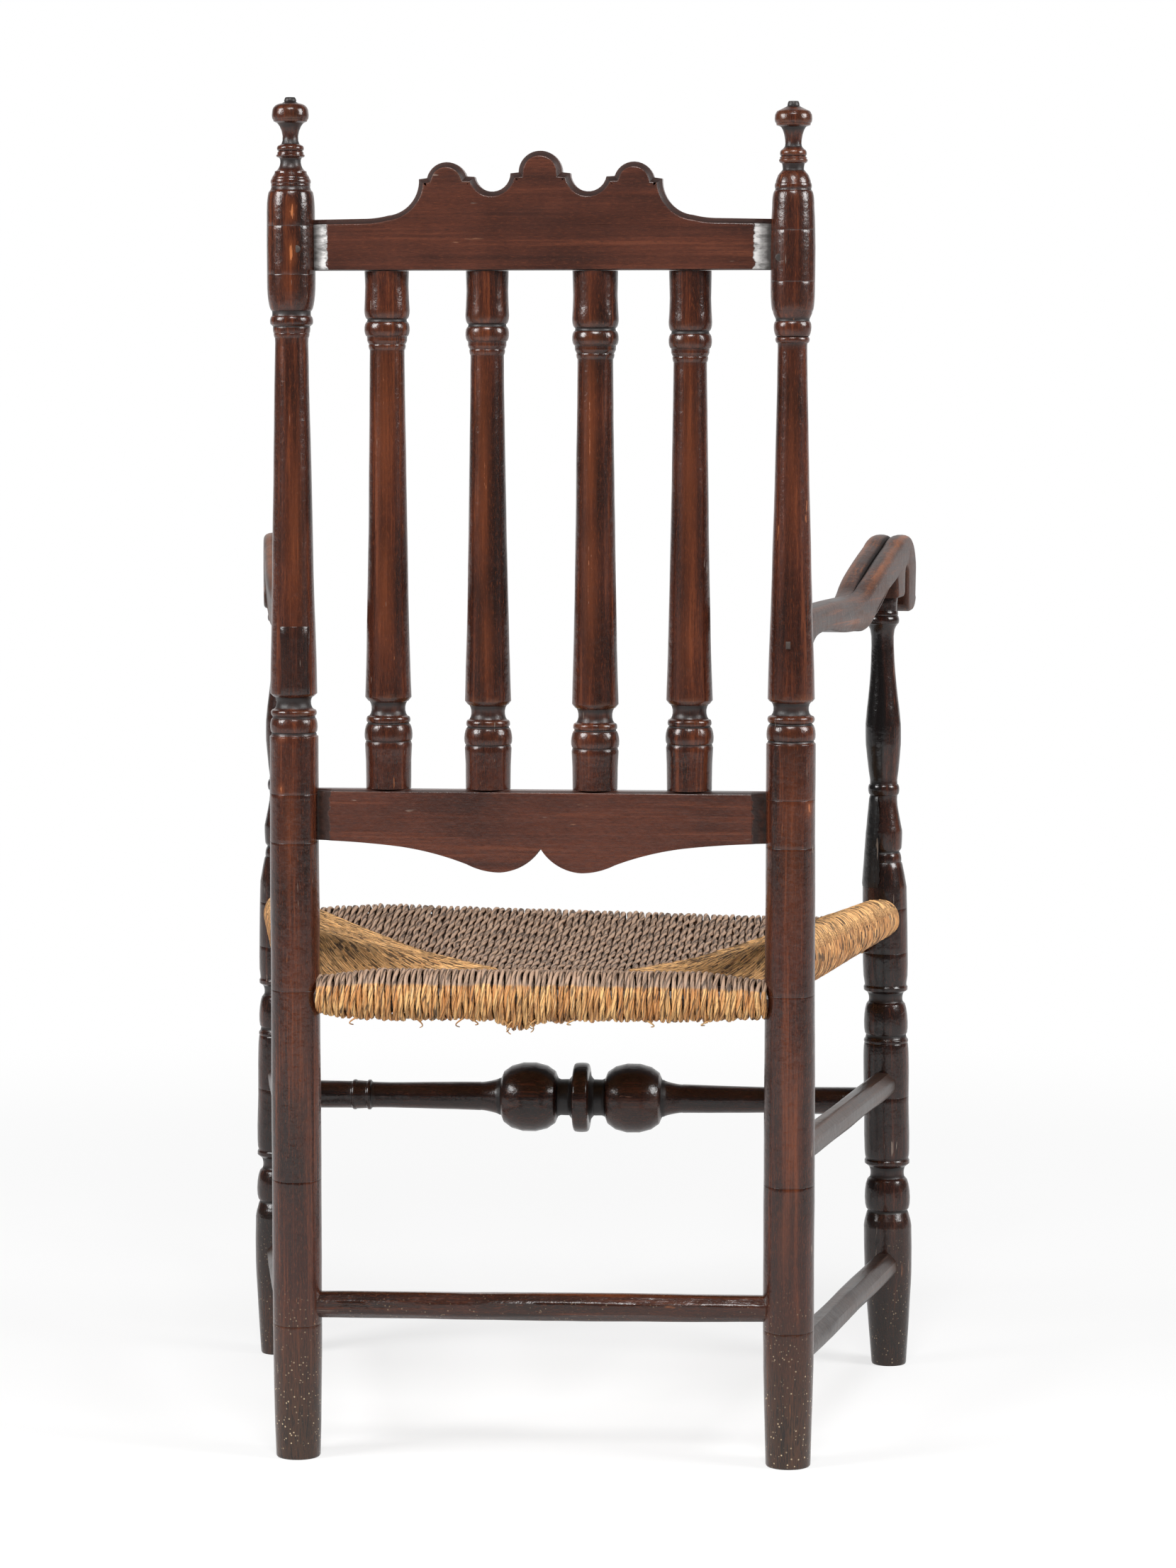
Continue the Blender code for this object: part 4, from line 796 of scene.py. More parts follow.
RAIL_END = 222.5
CREST_HALF = (
    (0, 1174.8, 0), (19.2, 1156.0, 0.414), (26.4, 1155.2, 0), (58.4, 1152.2, -0.9), (65.6, 1152.6, 0),
    (100.4, 1151.2, 0.76), (107.6, 1150.2, 0), (135.2, 1118.4, -0.4), (156.0, 1115.7, -0.06),
    (RAIL_END, 1114.5, 0),
)
LOWER_HALF = (
    (0, 556.8, 0), (36, 535.4, -0.24), (66, 542.5, -0.12), (128, 558.2, 0.06), (RAIL_END, 563.4, 0.03),
)
CREST_FOOT = 1070.2
LOWER_TOP = 609.0
CREST_BEVEL = 4.7
LOWER_BEVEL = 1.5
BOARD_STEPS = 14
BEVEL_END = 188.0
BEVEL_SLOPE = 0.56
STRAIGHT_EDGE = (RAIL_END, BEVEL_END, 90, 0, -90, -BEVEL_END, -RAIL_END)


def board(node, top, bottom, bevel, number, finish):
    """A rail of the back: chamfered along its upper back edge, and cut away at its ends on the back."""
    closed = top + bottom
    chamfer = [bevel] * len(top) + [0.6] * len(bottom)
    inside = [2.2] * len(top) + [1.2] * len(bottom)

    def even(distance):
        return moved(closed, [distance] * len(closed))

    def cut(share, extra=0.0):
        return moved(closed, [value * share + extra for value in chamfer])

    layers = (
        (even(2.4), RAIL_FRONT, 0.0),
        (even(0.8), RAIL_FRONT + 0.1, 0.3),
        (even(0.25), RAIL_FRONT + 0.5, 0.8),
        (even(0.0), RAIL_FRONT + 1.2, 0.4),
        (even(0.0), RAIL_BACK - 7.4, -0.1),
        (even(0.25), RAIL_BACK - 6.6, -0.6),
        (cut(0.92), RAIL_BACK - 0.6, -0.75),
        (cut(1.0), RAIL_BACK - 0.15, 0.6),
        (cut(1.06, 0.2), RAIL_BACK, 0.5),
        (moved(closed, [value * 1.1 + inner for value, inner in zip(chamfer, inside)]), RAIL_BACK, 0.0),
    )
    shift = Vector((number * BOARD_SHIFT, number * 0.21, 0))
    rings = []
    for points, y, value in layers:
        ring = []
        for x, z in points:
            ring.append((Vector((x, y, z)), Vector((y, z, x)) * MM + shift, value, 0.0))
        rings.append(ring)

    def bent(vert):
        beyond = abs(vert.co.x) / MM - BEVEL_END
        vert.co.y = min(vert.co.y, (RAIL_BACK - max(0.0, beyond) * BEVEL_SLOPE) * MM)

    skin(node + "_fine", node, rings, finish, 17, (BEVEL_END, -BEVEL_END), bent)


def split_at(points, x):
    """Points with one more where the outline crosses x, on either side."""
    result = [points[0]]
    for before, after in zip(points, points[1:]):
        for mark in (x, -x):
            if (before.x - mark) * (after.x - mark) < 0:
                share = (mark - before.x) / (after.x - before.x)
                result.append(before.lerp(after, share))
        result.append(after)
    return result


crest_top = split_at(mirrored(outline(CREST_HALF, BOARD_STEPS)), BEVEL_END)
crest_foot = [Vector((x, CREST_FOOT)) for x in STRAIGHT_EDGE]
board("crest_rail", crest_top, crest_foot, CREST_BEVEL, CREST_NUMBER, CREST)
lower_edge = split_at(mirrored(outline(LOWER_HALF, BOARD_STEPS)), BEVEL_END)[::-1]
lower_top = [Vector((x, LOWER_TOP)) for x in reversed(STRAIGHT_EDGE)]
board("lower_back_rail", lower_top, lower_edge, LOWER_BEVEL, LOWER_NUMBER, LOWER)


# Arms, seen from the side: distance from the rear post's axis, height and bulge

ARM_TIP = (511.4, 757.3)
ARM_SIDE = (
    (14.0, 769.6, 0), (233.9, 770.4, 0.01), (300.7, 779.8, -0.12), (426.6, 812.0, 0.02),
    (478.0, 819.5, 0.1), (514.0, 786.5, 0.36), (*ARM_TIP, 0), (488.3, 744.5, 0.34), (467.7, 751.3, 0.3),
    (468.3, 782.0, 0), (452.3, 782.0, -0.9), (451.3, 764.8, 0), (446.2, 760.0, 0.2), (414.3, 760.0, 0),
    (411.2, 779.0, 0), (364.9, 770.0, 0), (300.7, 747.9, 0), (241.6, 738.5, 0.16), (133.6, 745.3, 0.03),
    (56.5, 744.5, -0.05), (14.0, 722.5, -0.16),
)
ARM_ROUND = 3.2
ARM_CROWN = 6.0
ARM_HALF = 13
ARM_WIDENING = 6.5
ARM_STEPS = 9
LEFT_SLICES = (-1.0, -0.985, -0.94, -0.86, -0.72, -0.55, -0.38, -0.2, -0.09, -0.03)
ARM_SLICES = (*LEFT_SLICES, 0.0, *(-value for value in reversed(LEFT_SLICES)))


def arm_half(distance):
    """Half the arm's width, which grows towards the front."""
    return ARM_HALF + ARM_WIDENING * smooth((distance - 206) / 128)


def arm_piece(side, word, number):
    """An arm of thin upright slices. Its top is crowned, and towards the front becomes two ridges."""
    points = outline(ARM_SIDE, ARM_STEPS)
    tip = min(range(len(points)), key=lambda index: (points[index] - Vector(ARM_TIP)).length)
    rear, front = rear_axis(side, 0), front_axis(side, ARM_HEIGHT)
    front.z = 0
    forward = (front - rear).normalized()
    sideways = Vector((-forward.y, forward.x, 0))
    shift = Vector((number * 0.4, 0.3, 0))
    rings = []
    for lateral in ARM_SLICES:
        distances, values = [], []
        for index, point in enumerate(points):
            half = arm_half(point.x)
            reach = abs(lateral) * half
            corner = max(0.0, reach - (half - ARM_ROUND))
            distance = ARM_ROUND - math.sqrt(max(0.0, ARM_ROUND**2 - corner**2))
            value = corner / ARM_ROUND * 0.8
            stripe = 0.0
            if index <= tip:
                fade = smooth((point.x - 255) / 90)
                across = (reach - half / 2) / (half / 2)
                ridge = (1 - math.sqrt(max(0.0, 1 - min(1.0, abs(across)) ** 2.4))) * ARM_CROWN
                plain = (1 - math.sqrt(max(0.0, 1 - (reach / half) ** 3))) * ARM_CROWN
                distance = distance * 0.25 + plain * (1 - fade) + ridge * fade
                # Low in the valley between the two ridges, where the wood is darkened as painted shade.
                value = 0.25 - ridge * fade * (0.5 if reach < half / 2 else 0.05)
                stripe = 0.9 * math.exp(-(((reach / half - 0.78) / 0.13) ** 2)) * (0.3 + 0.7 * fade)
            distances.append(distance)
            values.append((max(-1.0, min(1.0, value)), stripe))
        ring = []
        for point, inner, value in zip(points, moved(points, distances), values):
            half = arm_half(point.x)
            place = rear + forward * inner.x + sideways * lateral * half
            place.z = inner.y
            ring.append((place, Vector((lateral * half, inner.y, inner.x)) * MM + shift, *value))
        rings.append(ring)
    node = "arm_" + word
    skin(node + "_fine", node, rings, ARM_WOOD, 40)


arm_piece(1, "left", 21)
arm_piece(-1, "right", 22)


# Stretchers. The front one is a start and members from its middle to one end.

STRETCHER_HALF = (
    (0.0, 34.5), (6.4, 33.4, "in"), (8.4, 24.0, "in"), (13.0, 18.0, -1.2), (20.5, 17.8), (23.4, 19.0),
    (80.0, 18.6, 15.8), (82.0, 18.2), (101.0, 14.2, -0.9), (190.0, 12.6), (209.0, 12.8), (210.0, 14.2),
    (213.5, 14.2, 0.8), (214.5, 13.6), (224.5, 14.2), (228.5, 14.0, 0.9), (229.5, 13.4), (285.0, 13.8),
)
FRONT_STRETCHER = 262.0
REAR_STRETCHER = ((16.0, 12.1), (120, 12.5), (220, 12.95), (330, 12.6), (429, 12.1))
BARS = (("upper", 281.0, 281.5, 13.3), ("lower", 96.5, 101.5, 13.5))
BAR_END = 17.0


def hewn(seed):
    """A hewn bar's section: flats of uneven width that wander along it."""

    def shape(radius, angle, height):
        best = 99.0
        for flat in range(8):
            facing = 2 * math.pi * flat / 8 + 0.25 * noise_at(flat * 3.3, height / 260, seed)
            depth = radius * (0.955 + 0.07 * noise_at(flat * 7.7, height / 120, seed + 3.3))
            slant = math.cos(angle - facing)
            if slant > 0.3:
                best = min(best, depth / slant)
        return min(radius * 1.02, best)

    return shape


start, end = front_axis(1, FRONT_STRETCHER), front_axis(-1, FRONT_STRETCHER)
middle = (end - start).length / 2
half_points = profile(STRETCHER_HALF, worn_by=0.5)
whole = [(middle - distance, radius) for distance, radius in reversed(half_points[1:])]
whole += [(middle + distance, radius) for distance, radius in half_points]
turned("front_stretcher", whole, DARK, start, end, 31, 64)

points = profile(REAR_STRETCHER)
start, end = rear_axis(1, 139.5), rear_axis(-1, 142.8)
turned("rear_stretcher", points, WALNUT, start, end, 32, 48, shape=hewn(7.7), sharp=30)
for side, word in ((1, "left"), (-1, "right")):
    for row, (level, rear_height, front_height, radius) in enumerate(BARS):
        start, end = rear_axis(side, rear_height), front_axis(side, front_height)
        length = (end - start).length
        points = profile(((BAR_END, radius), (length / 2, radius), (length - BAR_END, radius)))
        name = "side_stretcher_" + level + "_" + word
        seed = 40 + row * 2 + side
        turned(name, points, HEWN, start, end, seed, 48, shape=hewn(seed), sharp=22)


# Rush: strands that run from the diagonal over the top, round the rail and back underneath. The weave has
# four gores: "rear" and "front", whose strands run lengthwise, and "left" and "right", both called "side".

REAR_RAIL = 421.5
FRONT_RAIL = 427.5
SIDE_RAIL_REAR = 456.0
SIDE_RAIL_FRONT = 444.5
RIDGE_HALF = 58.0
MIDDLE_Y = (REAR_Y + FRONT_Y) / 2
DISH_TOP = 420.0
DISH_FOOT = 398.0
ROLL_REACH = 19.0
ROLL_STEPS = 16
ROLL_RISES = {"rear": (26.2, 26.2), "front": (28.5, 15.5), "side": (28.0, 23.5)}
ROLL_FALLS = {"rear": (20.7, 20.7), "front": (19.5, 19.5), "side": (27.0, 15.8)}
END_RISES = {"rear": 16.3, "front": 19.0, "side": 19.0}
END_FALL = 16.3
DIP = 5.0
HALF_DEPTH = 212
DIP_REACH = 9
LENGTHWISE_STEP = 0.011
SIDE_STEP = 0.03
UNDERSIDE_STEP = 0.05


def lengthwise(gore):
    return gore in ("rear", "front")


def rail_half(gore):
    """Half the length of the rear or front seat rail."""
    return REAR_X if gore == "rear" else FRONT_X - FRONT_LEAN * FRONT_RAIL


def side_rail_x(y):
    """How far a side seat rail lies from the middle of the chair at this y."""
    along = (REAR_Y - y) / SEAT_DEPTH
    return REAR_X + (FRONT_X - FRONT_LEAN * SIDE_RAIL_FRONT - REAR_X) * along


def side_share(y):
    """How far from a side rail to the ridge the diagonal lies at this y."""
    return 1 - abs(y - MIDDLE_Y) / (SEAT_DEPTH / 2)


def rail_rise(rises, share, end):
    """A roll's rise: it changes evenly along the rail, and eases to end at both ends."""
    edge = min(1.0, max(0.0, min(share, 1 - share)) / 0.17)
    rise = rises[0] + (rises[1] - rises[0]) * share
    return end + (rise - end) * edge


def gore_point(gore, share, at):
    """(height of the rail, rise and fall of its roll, height of the top and of the underside) in a gore.

    Share is how far from the rail to the ridge, at the place along the rail's direction.
    """
    if lengthwise(gore):
        half = rail_half(gore) * (1 - share) + RIDGE_HALF * share
        along = (half - at) / (2 * half)
        axis_height = REAR_RAIL if gore == "rear" else FRONT_RAIL
    else:
        near = REAR_Y * (1 - share) + MIDDLE_Y * share
        span = SEAT_DEPTH * (1 - share)
        along = clamped((near - at) / span) if span > 1 else 0.5
        axis_height = SIDE_RAIL_REAR + (SIDE_RAIL_FRONT - SIDE_RAIL_REAR) * along
    rise = rail_rise(ROLL_RISES[gore], along, END_RISES[gore])
    fall = rail_rise(ROLL_FALLS[gore], along, END_FALL)
    slope = (1 - share) ** 1.5
    top = DISH_TOP + (axis_height + rise - DISH_TOP) * slope
    foot = DISH_FOOT + (axis_height - fall - DISH_FOOT) * slope
    if gore == "side":
        end_share = side_share(at)
        over = min(0.3, end_share)
        near = smooth((share - end_share + over) / over) if over > 0.001 else 0.0
        neighbour = "rear" if at > MIDDLE_Y else "front"
        beside = gore_point(neighbour, end_share, 0.0)
        end_slope = (1 - end_share) ** 1.5
        edge_top = beside[3] + (END_RISES[neighbour] - beside[1]) * end_slope
        edge_foot = beside[4] - (END_FALL - beside[2]) * end_slope
        top += (edge_top + 0.6 - top) * near
        foot += (edge_foot - foot) * near
    return axis_height, rise, fall, top, foot


def rear_sag(at, seed):
    """How much lower the underside of the rear roll hangs, most of all near its middle."""
    sag = 2.2 * noise_at(at / 7, 0.3, seed) + 7.5 * math.exp(-(((at - 20) / 15) ** 2))
    return sag + 2.5 * math.exp(-(((at - 10) / 45) ** 2)) + 1.5 * math.exp(-(((at - 130) / 70) ** 2)) - 1.0


def strand_path(gore, at, radius, lift, seed):
    """Centre points of one strand, with how grey it is and how fast it turns at each."""
    kind = gore if lengthwise(gore) else "side"
    if lengthwise(gore):
        half = rail_half(gore)
        end_share = 1.0 if abs(at) <= RIDGE_HALF else (half - abs(at)) / (half - RIDGE_HALF)
        rail_y = REAR_Y if gore == "rear" else FRONT_Y
        out = Vector((0, 1 if gore == "rear" else -1, 0))
    else:
        end_share = side_share(at)
        rail_x = side_rail_x(at)
        out = Vector((1 if gore == "left" else -1, 0, 0))
    end_share = max(0.02, min(1.0, end_share))

    def flat(share):
        if lengthwise(gore):
            return Vector((at, rail_y + (MIDDLE_Y - rail_y) * share, 0))
        return Vector((out.x * (rail_x + (RIDGE_HALF - rail_x) * share), at, 0))

    spine = []
    steps = max(3, int(end_share / (LENGTHWISE_STEP if lengthwise(gore) else SIDE_STEP)))
    for index in range(steps + 1):
        share = end_share * (1 - index / steps)
        top = gore_point(kind, share, at)[3]
        near_end = max(0.0, 1 - index / steps * end_share * HALF_DEPTH / DIP_REACH)
        height = top - radius + lift - DIP * near_end * near_end
        spine.append((flat(share) + UP * height, 1.0, 1.0))
    axis_height, rise, fall = gore_point(kind, 0.0, at)[:3]
    sag = rear_sag(at, seed) if gore == "rear" else 0.0
    for index in range(1, ROLL_STEPS):
        angle = math.pi * index / ROLL_STEPS
        low = max(0.0, -math.cos(angle))
        full = rise if angle < math.pi / 2 else fall
        reach = (ROLL_REACH - radius + lift * 0.7) * math.sin(angle) ** 0.9
        height = axis_height + (full - radius + lift * 0.7 + sag * low) * math.cos(angle)
        aged = clamped(1 - (index / ROLL_STEPS - 0.27) / 0.1)
        spine.append((flat(0.0) + out * reach + UP * height, aged, 0.35))
    steps = max(2, int(end_share / UNDERSIDE_STEP))
    for index in range(steps + 1):
        share = end_share * index / steps
        foot = gore_point(kind, share, at)[4]
        near_end = max(0.0, 1 - (1 - index / steps) * end_share * HALF_DEPTH / DIP_REACH)
        height = foot + radius - lift - sag * (1 - share) ** 6 + DIP * near_end
        spine.append((flat(share) + UP * height, 0.35, 0.3))
    return spine


def strand_tree():
    """Sweeps a two lobed section along every strand's path."""
    tree = bpy.data.node_groups.new("rush_strands", "GeometryNodeTree")
    tree.interface.new_socket("Geometry", in_out="INPUT", socket_type="NodeSocketGeometry")
    kinds = {"Strand radius": "Float", "Lobe depth": "Float", "Section points": "Int", "Finish": "Material"}
    sizes = {}
    for name, kind in kinds.items():
        sizes[name] = tree.interface.new_socket(name, in_out="INPUT", socket_type="NodeSocket" + kind)
    tree.interface.new_socket("Geometry", in_out="OUTPUT", socket_type="NodeSocketGeometry")
    nodes = Nodes(tree)

    def geometry(kind, sockets, **settings):
        return nodes.node("GeometryNode" + kind, settings, sockets)

    def given(name):
        return nodes.node("NodeGroupInput", {}, {}, name)

    def kept(name):
        return geometry("InputNamedAttribute", {"Name": name}, data_type="FLOAT")

    curves = geometry("MeshToCurve", {"Mesh": given("Geometry")})
    curves = geometry("SetCurveTilt", {"Curve": curves, "Tilt": kept("turn")})
    thick = kept("thick") * given("Strand radius")
    curves = geometry("SetCurveRadius", {"Curve": curves, "Radius": thick})
    ring = geometry("CurvePrimitiveCircle", {"Resolution": given("Section points"), "Radius": 1.0})
    share = geometry("InputIndex", {}) / given("Section points")
    sockets = {"Geometry": ring, "Name": "across", "Value": share}
    ring = geometry("StoreNamedAttribute", sockets, data_type="FLOAT", domain="POINT")
    lobe = (share * (4 * math.pi)).maths("COSINE") * given("Lobe depth") + 1.0
    sockets = {0: geometry("InputPosition", {}), "Scale": lobe}
    scaled = nodes.node("VectorMath", {"operation": "SCALE"}, sockets)
    ring = geometry("SetPosition", {"Geometry": ring, "Position": scaled})
    sockets = {"Curve": curves, "Profile Curve": ring, "Scale": thick, "Fill Caps": True}
    tube = geometry("CurveToMesh", sockets)
    tube = geometry("SetShadeSmooth", {"Geometry": tube})
    tube = geometry("RealizeInstances", {"Geometry": tube})
    tube = geometry("SetMaterial", {"Geometry": tube, "Material": given("Finish")})
    nodes.node("NodeGroupOutput", {}, {"Geometry": tube})
    return tree, sizes


STRAND_TREE, STRAND_SIZES = strand_tree()
STRAND_VALUES = ("aged", "turn", "thick", "strand", "along")


def strands(name, paths, radius, lobe, points, finish):
    """One piece of every strand in paths, each a list of (place, aged, turn, thickness, strand number)."""
    places, edges, rows = [], [], []
    for path in paths:
        length = 0.0
        for index, (place, *values) in enumerate(path):
            if index:
                edges.append((len(places) - 1, len(places)))
                length += (place - path[index - 1][0]).length * MM
            places.append(place * MM)
            rows.append((*values, length))
    mesh = bpy.data.meshes.new(name + "_paths")
    mesh.from_pydata(places, edges, [])
    for key, values in zip(STRAND_VALUES, zip(*rows)):
        stored_numbers(mesh, key, values)
    piece = added(name, mesh)
    modifier = piece.modifiers.new("strands", "NODES")
    modifier.node_group = STRAND_TREE
    sizes = {"Strand radius": radius * MM, "Lobe depth": lobe, "Section points": points, "Finish": finish}
    for key, value in sizes.items():
        modifier[STRAND_SIZES[key].identifier] = value
    bpy.context.view_layer.update()
    graph = bpy.context.evaluated_depsgraph_get()
    result = bpy.data.meshes.new_from_object(piece.evaluated_get(graph), depsgraph=graph)
    bpy.data.objects.remove(piece)
    piece = added(name, result)
    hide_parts("rush_seat")
    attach(piece, "root")


def gore_strands(gore, low, high, pitch, radius, turn_length, seed):
    """The strands of one gore, a pitch apart. Each turns once in turn_length where it is fully twisted."""
    count = int((high - low) / pitch)
    paths = []
    for index in range(count + 1):
        at = low + (high - low) * index / count
        drift = noise_at(index * 0.37, seed, 0)
        lift = 0.55 * noise_at(index * 1.7, seed, 3.0)
        spine = strand_path(gore, at, radius, lift, seed)
        number = (noise_at(index * 5.31, seed, 9.0) + 1) / 2
        angle = number * 9
        path = []
        for step, (place, grey, rate) in enumerate(spine):
            if step:
                angle += (place - spine[step - 1][0]).length / turn_length * 2 * math.pi * rate
            wander = noise_at(step * 0.21, seed, index * 1.9) * pitch * 0.3
            width = 1.0 + 0.12 * noise_at(index * 2.1, step * 0.22, seed)
            if gore == "rear":
                width += 0.15 * (1 - min(1.0, grey)) - 0.05
            if lengthwise(gore):
                shift = Vector((wander, 0, 0))
                aged, straw = grey, 0.0
            else:
                shift = Vector((0, wander, 0))
                # On the side gores the strand numbers shift towards the straw tone on the top, lighter
                # there as painted light, and less so round the roll.
                aged, straw = grey * 0.25, 0.5 * grey - 0.2
            path.append((place + shift, aged + drift * 0.12, angle, width, number + straw))
        paths.append(path)
    return paths


SIDE_LOW = FRONT_Y + 23
SIDE_HIGH = REAR_Y - 23
# Gore, first and last strand, pitch, radius, turn length, seed, lobe depth, points round a strand, finish
GORES = (
    ("rear", -200, 200, 5.3, 2.5, 19.0, 1.0, 0.15, 8, RUSH),
    ("front", -276, 276, 6.3, 2.5, 56.0, 2.0, 0.2, 8, RUSH),
    ("left", SIDE_LOW, SIDE_HIGH, 2.9, 1.36, 60.0, 5.0, 0.16, 6, RUSH_SIDE_PAINTED_LIGHT),
    ("right", SIDE_LOW, SIDE_HIGH, 2.9, 1.36, 60.0, 3.0, 0.16, 6, RUSH_SIDE_PAINTED_LIGHT),
)
for gore, low, high, pitch, radius, turn_length, seed, lobe, points, finish in GORES:
    paths = gore_strands(gore, low, high, pitch, radius, turn_length, seed)
    strands("rush_" + gore + "_fine", paths, radius, lobe, points, finish)

# Loose ends: x, length and which way each leans
LOOSE_ENDS = (
    (166, 10, 1), (112, 12, -1), (70, 11, 1), (62, 9, -1), (34, 15, -1), (24, 17, 1), (12, 15, -1),
    (4, 12, 1), (-30, 8, 1), (-96, 9, -1), (-150, 7, 1),
)
LOOSE_STEPS = 8


def loose_ends():
    """Broken ends of rush that hang and curl below the roll over the rear rail."""
    paths = []
    for number, (x, length, lean) in enumerate(LOOSE_ENDS):
        base = Vector((x, REAR_Y + 12, REAR_RAIL - 17.5))
        path = []
        for step in range(LOOSE_STEPS + 1):
            share = step / LOOSE_STEPS
            curl = math.sin(share * 2.6)
            drop = length * share - 3.0 * share * share
            place = base + Vector((lean * curl * 6, 4 * curl - 6 * share, -drop))
            path.append((place, 0.1, 0.0, 1.0 - 0.5 * share, 0.3 + 0.06 * number))
        paths.append(path)
    return paths


strands("rush_loose_fine", loose_ends(), 0.9, 0.1, 6, RUSH)

BED_ROWS = 26
BED_STEPS = 24
BED_END = 12
BED_SIDE = 4
BED_UNDER = 4.6
BED_OVER = 5.0


def seat_bed():
    """A closed bed of packed rush just under the strands, dark as painted shade where it shows between
    them.
    """
    rings = []
    for row in range(BED_ROWS + 1):
        y = FRONT_Y + BED_END + (SEAT_DEPTH - 2 * BED_END) * row / BED_ROWS
        rail_x = side_rail_x(y)
        half = rail_x - BED_SIDE
        share_y = side_share(y)
        tops, feet = [], []
        for step in range(BED_STEPS + 1):
            x = -half + 2 * half * step / BED_STEPS
            share_x = (rail_x - abs(x)) / (rail_x - RIDGE_HALF)
            if share_x < share_y:
                values = gore_point("side", clamped(share_x), y)
            else:
                values = gore_point("rear" if y > MIDDLE_Y else "front", clamped(share_y), x)
            tops.append(Vector((x, y, values[3] - BED_UNDER)))
            feet.append(Vector((x, y, values[4] + BED_OVER)))
        rings.append([(place, place * MM, -0.5, 0.0) for place in tops + feet[::-1]])
    return skin("rush_bed_fine", "rush_seat", rings, RUSH_SHADE)


bed = seat_bed()


# Pegs, pin, patch and strip


def stub(node, end, length, radius, sides, number, across=None):
    """A short bar along Y with a rubbed end: round, or square if across gives half its width and height."""
    start = end - Vector((0, length, 0))
    turn = (end - start).normalized().to_track_quat("Z", "X").to_matrix()
    length = (end - start).length
    sections = ((0, 1.0, 0.0), (length - 0.6, 1.0, 0.2), (length - 0.15, 0.93, 0.6), (length, 0.75, 0.1))
    rings = []
    for height, share, value in sections:
        ring = []
        for index in range(sides):
            angle = 2 * math.pi * (index + 0.5) / sides
            local = Vector((math.cos(angle) * radius * share, math.sin(angle) * radius * share, height))
            if across:
                local.x = math.copysign(across[0] * share, local.x)
                local.y = math.copysign(across[1] * share, local.y)
            ring.append((start + turn @ local, local * MM + Vector((number, 0, 0)), value, 0.0))
        rings.append(ring)
    skin(node + "_fine", node, rings, PEG_WOOD, 50)


# Side, name, height, how far in from the post's axis and how far behind it
PEGS = ((1, "left", 1089.0, 7.8, 20.4), (-1, "right", 1081.0, 11.5, 16.6))
for side, word, height, inset, out in PEGS:
    back = Vector((side * (REAR_X - inset), REAR_Y + out, height))
    stub("crest_peg_" + word, back, 24, 3.4, 14, side * 3)
stub("arm_pin_right", Vector((2.0 - REAR_X, REAR_Y + 22.1, 741.0)), 26, 3, 4, 7, (3.25, 2.0))

PATCH_HEIGHTS = (694.5, 695.0, 702, 716, 730, 744, 754.5, 755.0)
PATCH_LEFT = -16.3
PATCH_WIDTH = 25.6
PATCH_DEPTH = 4
PATCH_PROUD = 0.28
PATCH_GRAIN = 300
STRIP_LOW = 476.4
STRIP_HIGH = 565.4
STRIP_ROWS = 30
STRIP_BACK = 5.4
STRIP_TURN = 0.38
REPAIR_STEPS = 14


def patch_piece():
    """A let-in repair, curved with the post and standing just proud of it."""
    rings = []
    last = len(PATCH_HEIGHTS) - 1
    for row, height in enumerate(PATCH_HEIGHTS):
        radius = 21.0 + (18.9 - 21.0) * (height - 691.6) / 141.4 + PATCH_PROUD
        if row in (0, last):
            radius -= 0.2
        outer, inner = [], []
        for step in range(REPAIR_STEPS + 1):
            x = PATCH_LEFT + PATCH_WIDTH * step / REPAIR_STEPS
            drop = 0.5 if step in (0, REPAIR_STEPS) else 0.0
            y = math.sqrt(radius * radius - x * x) - drop
            outer.append(Vector((REAR_X + x, REAR_Y + y, height)))
            inner.append(Vector((REAR_X + x, REAR_Y + y - PATCH_DEPTH, height)))
        value = 0.25 if row in (1, last - 1) else 0.0
        ring = []
        for place in outer + inner[::-1]:
            ring.append((place, (place + UP * PATCH_GRAIN) * MM, value, 0.0))
        rings.append(ring)
    skin("repair_patch_left_fine", "repair_patch_left", rings, DARK, 50)


def strip_piece():
    """A let-in repair up the inner back of the right front post, with a ragged glued edge."""
    rings = []
    for row in range(STRIP_ROWS + 1):
        share = row / STRIP_ROWS
        height = STRIP_LOW + (STRIP_HIGH - STRIP_LOW) * row / STRIP_ROWS
        radius = 22.4 - 4.4 * min(1.0, share / 0.6) - 3.8 * max(0.0, (share - 0.6) / 0.4)
        radius += 0.35 * noise_at(height / 9, 3.0, 1.0)
        if row in (0, STRIP_ROWS):
            radius -= 0.5
        axis = front_axis(-1, height)
        first = 5.2 - 1.6 * noise_at(height / 6, 0.5, 7.0)
        start = math.acos(min(1.0, first / radius))
        section = []
        for step in range(REPAIR_STEPS + 1):
            angle = start - (start + STRIP_TURN) * step / REPAIR_STEPS
            section.append((math.cos(angle) * radius, math.sin(angle) * radius))
        section.append((STRIP_BACK, -math.sin(STRIP_TURN) * radius))
        section.append((STRIP_BACK, math.sin(start) * radius * 0.6))
        ring = []
        for index, (x, y) in enumerate(section):
            place = axis + Vector((x, y, 0))
            ring.append((place, place * MM, 0.3 if index in (0, REPAIR_STEPS) else 0.0, 0.0))
        rings.append(ring)
    skin("repair_strip_right_fine", "repair_strip_right", rings, BLACK, 50)


patch_piece()
strip_piece()

for rail in ("front", "rear", "left", "right"):
    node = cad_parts["seat_rail_" + rail]
    node.data.materials.clear()
    node.data.materials.append(HEWN)


# Floor, light and camera, in metres

FLOOR_REACH = 14.0


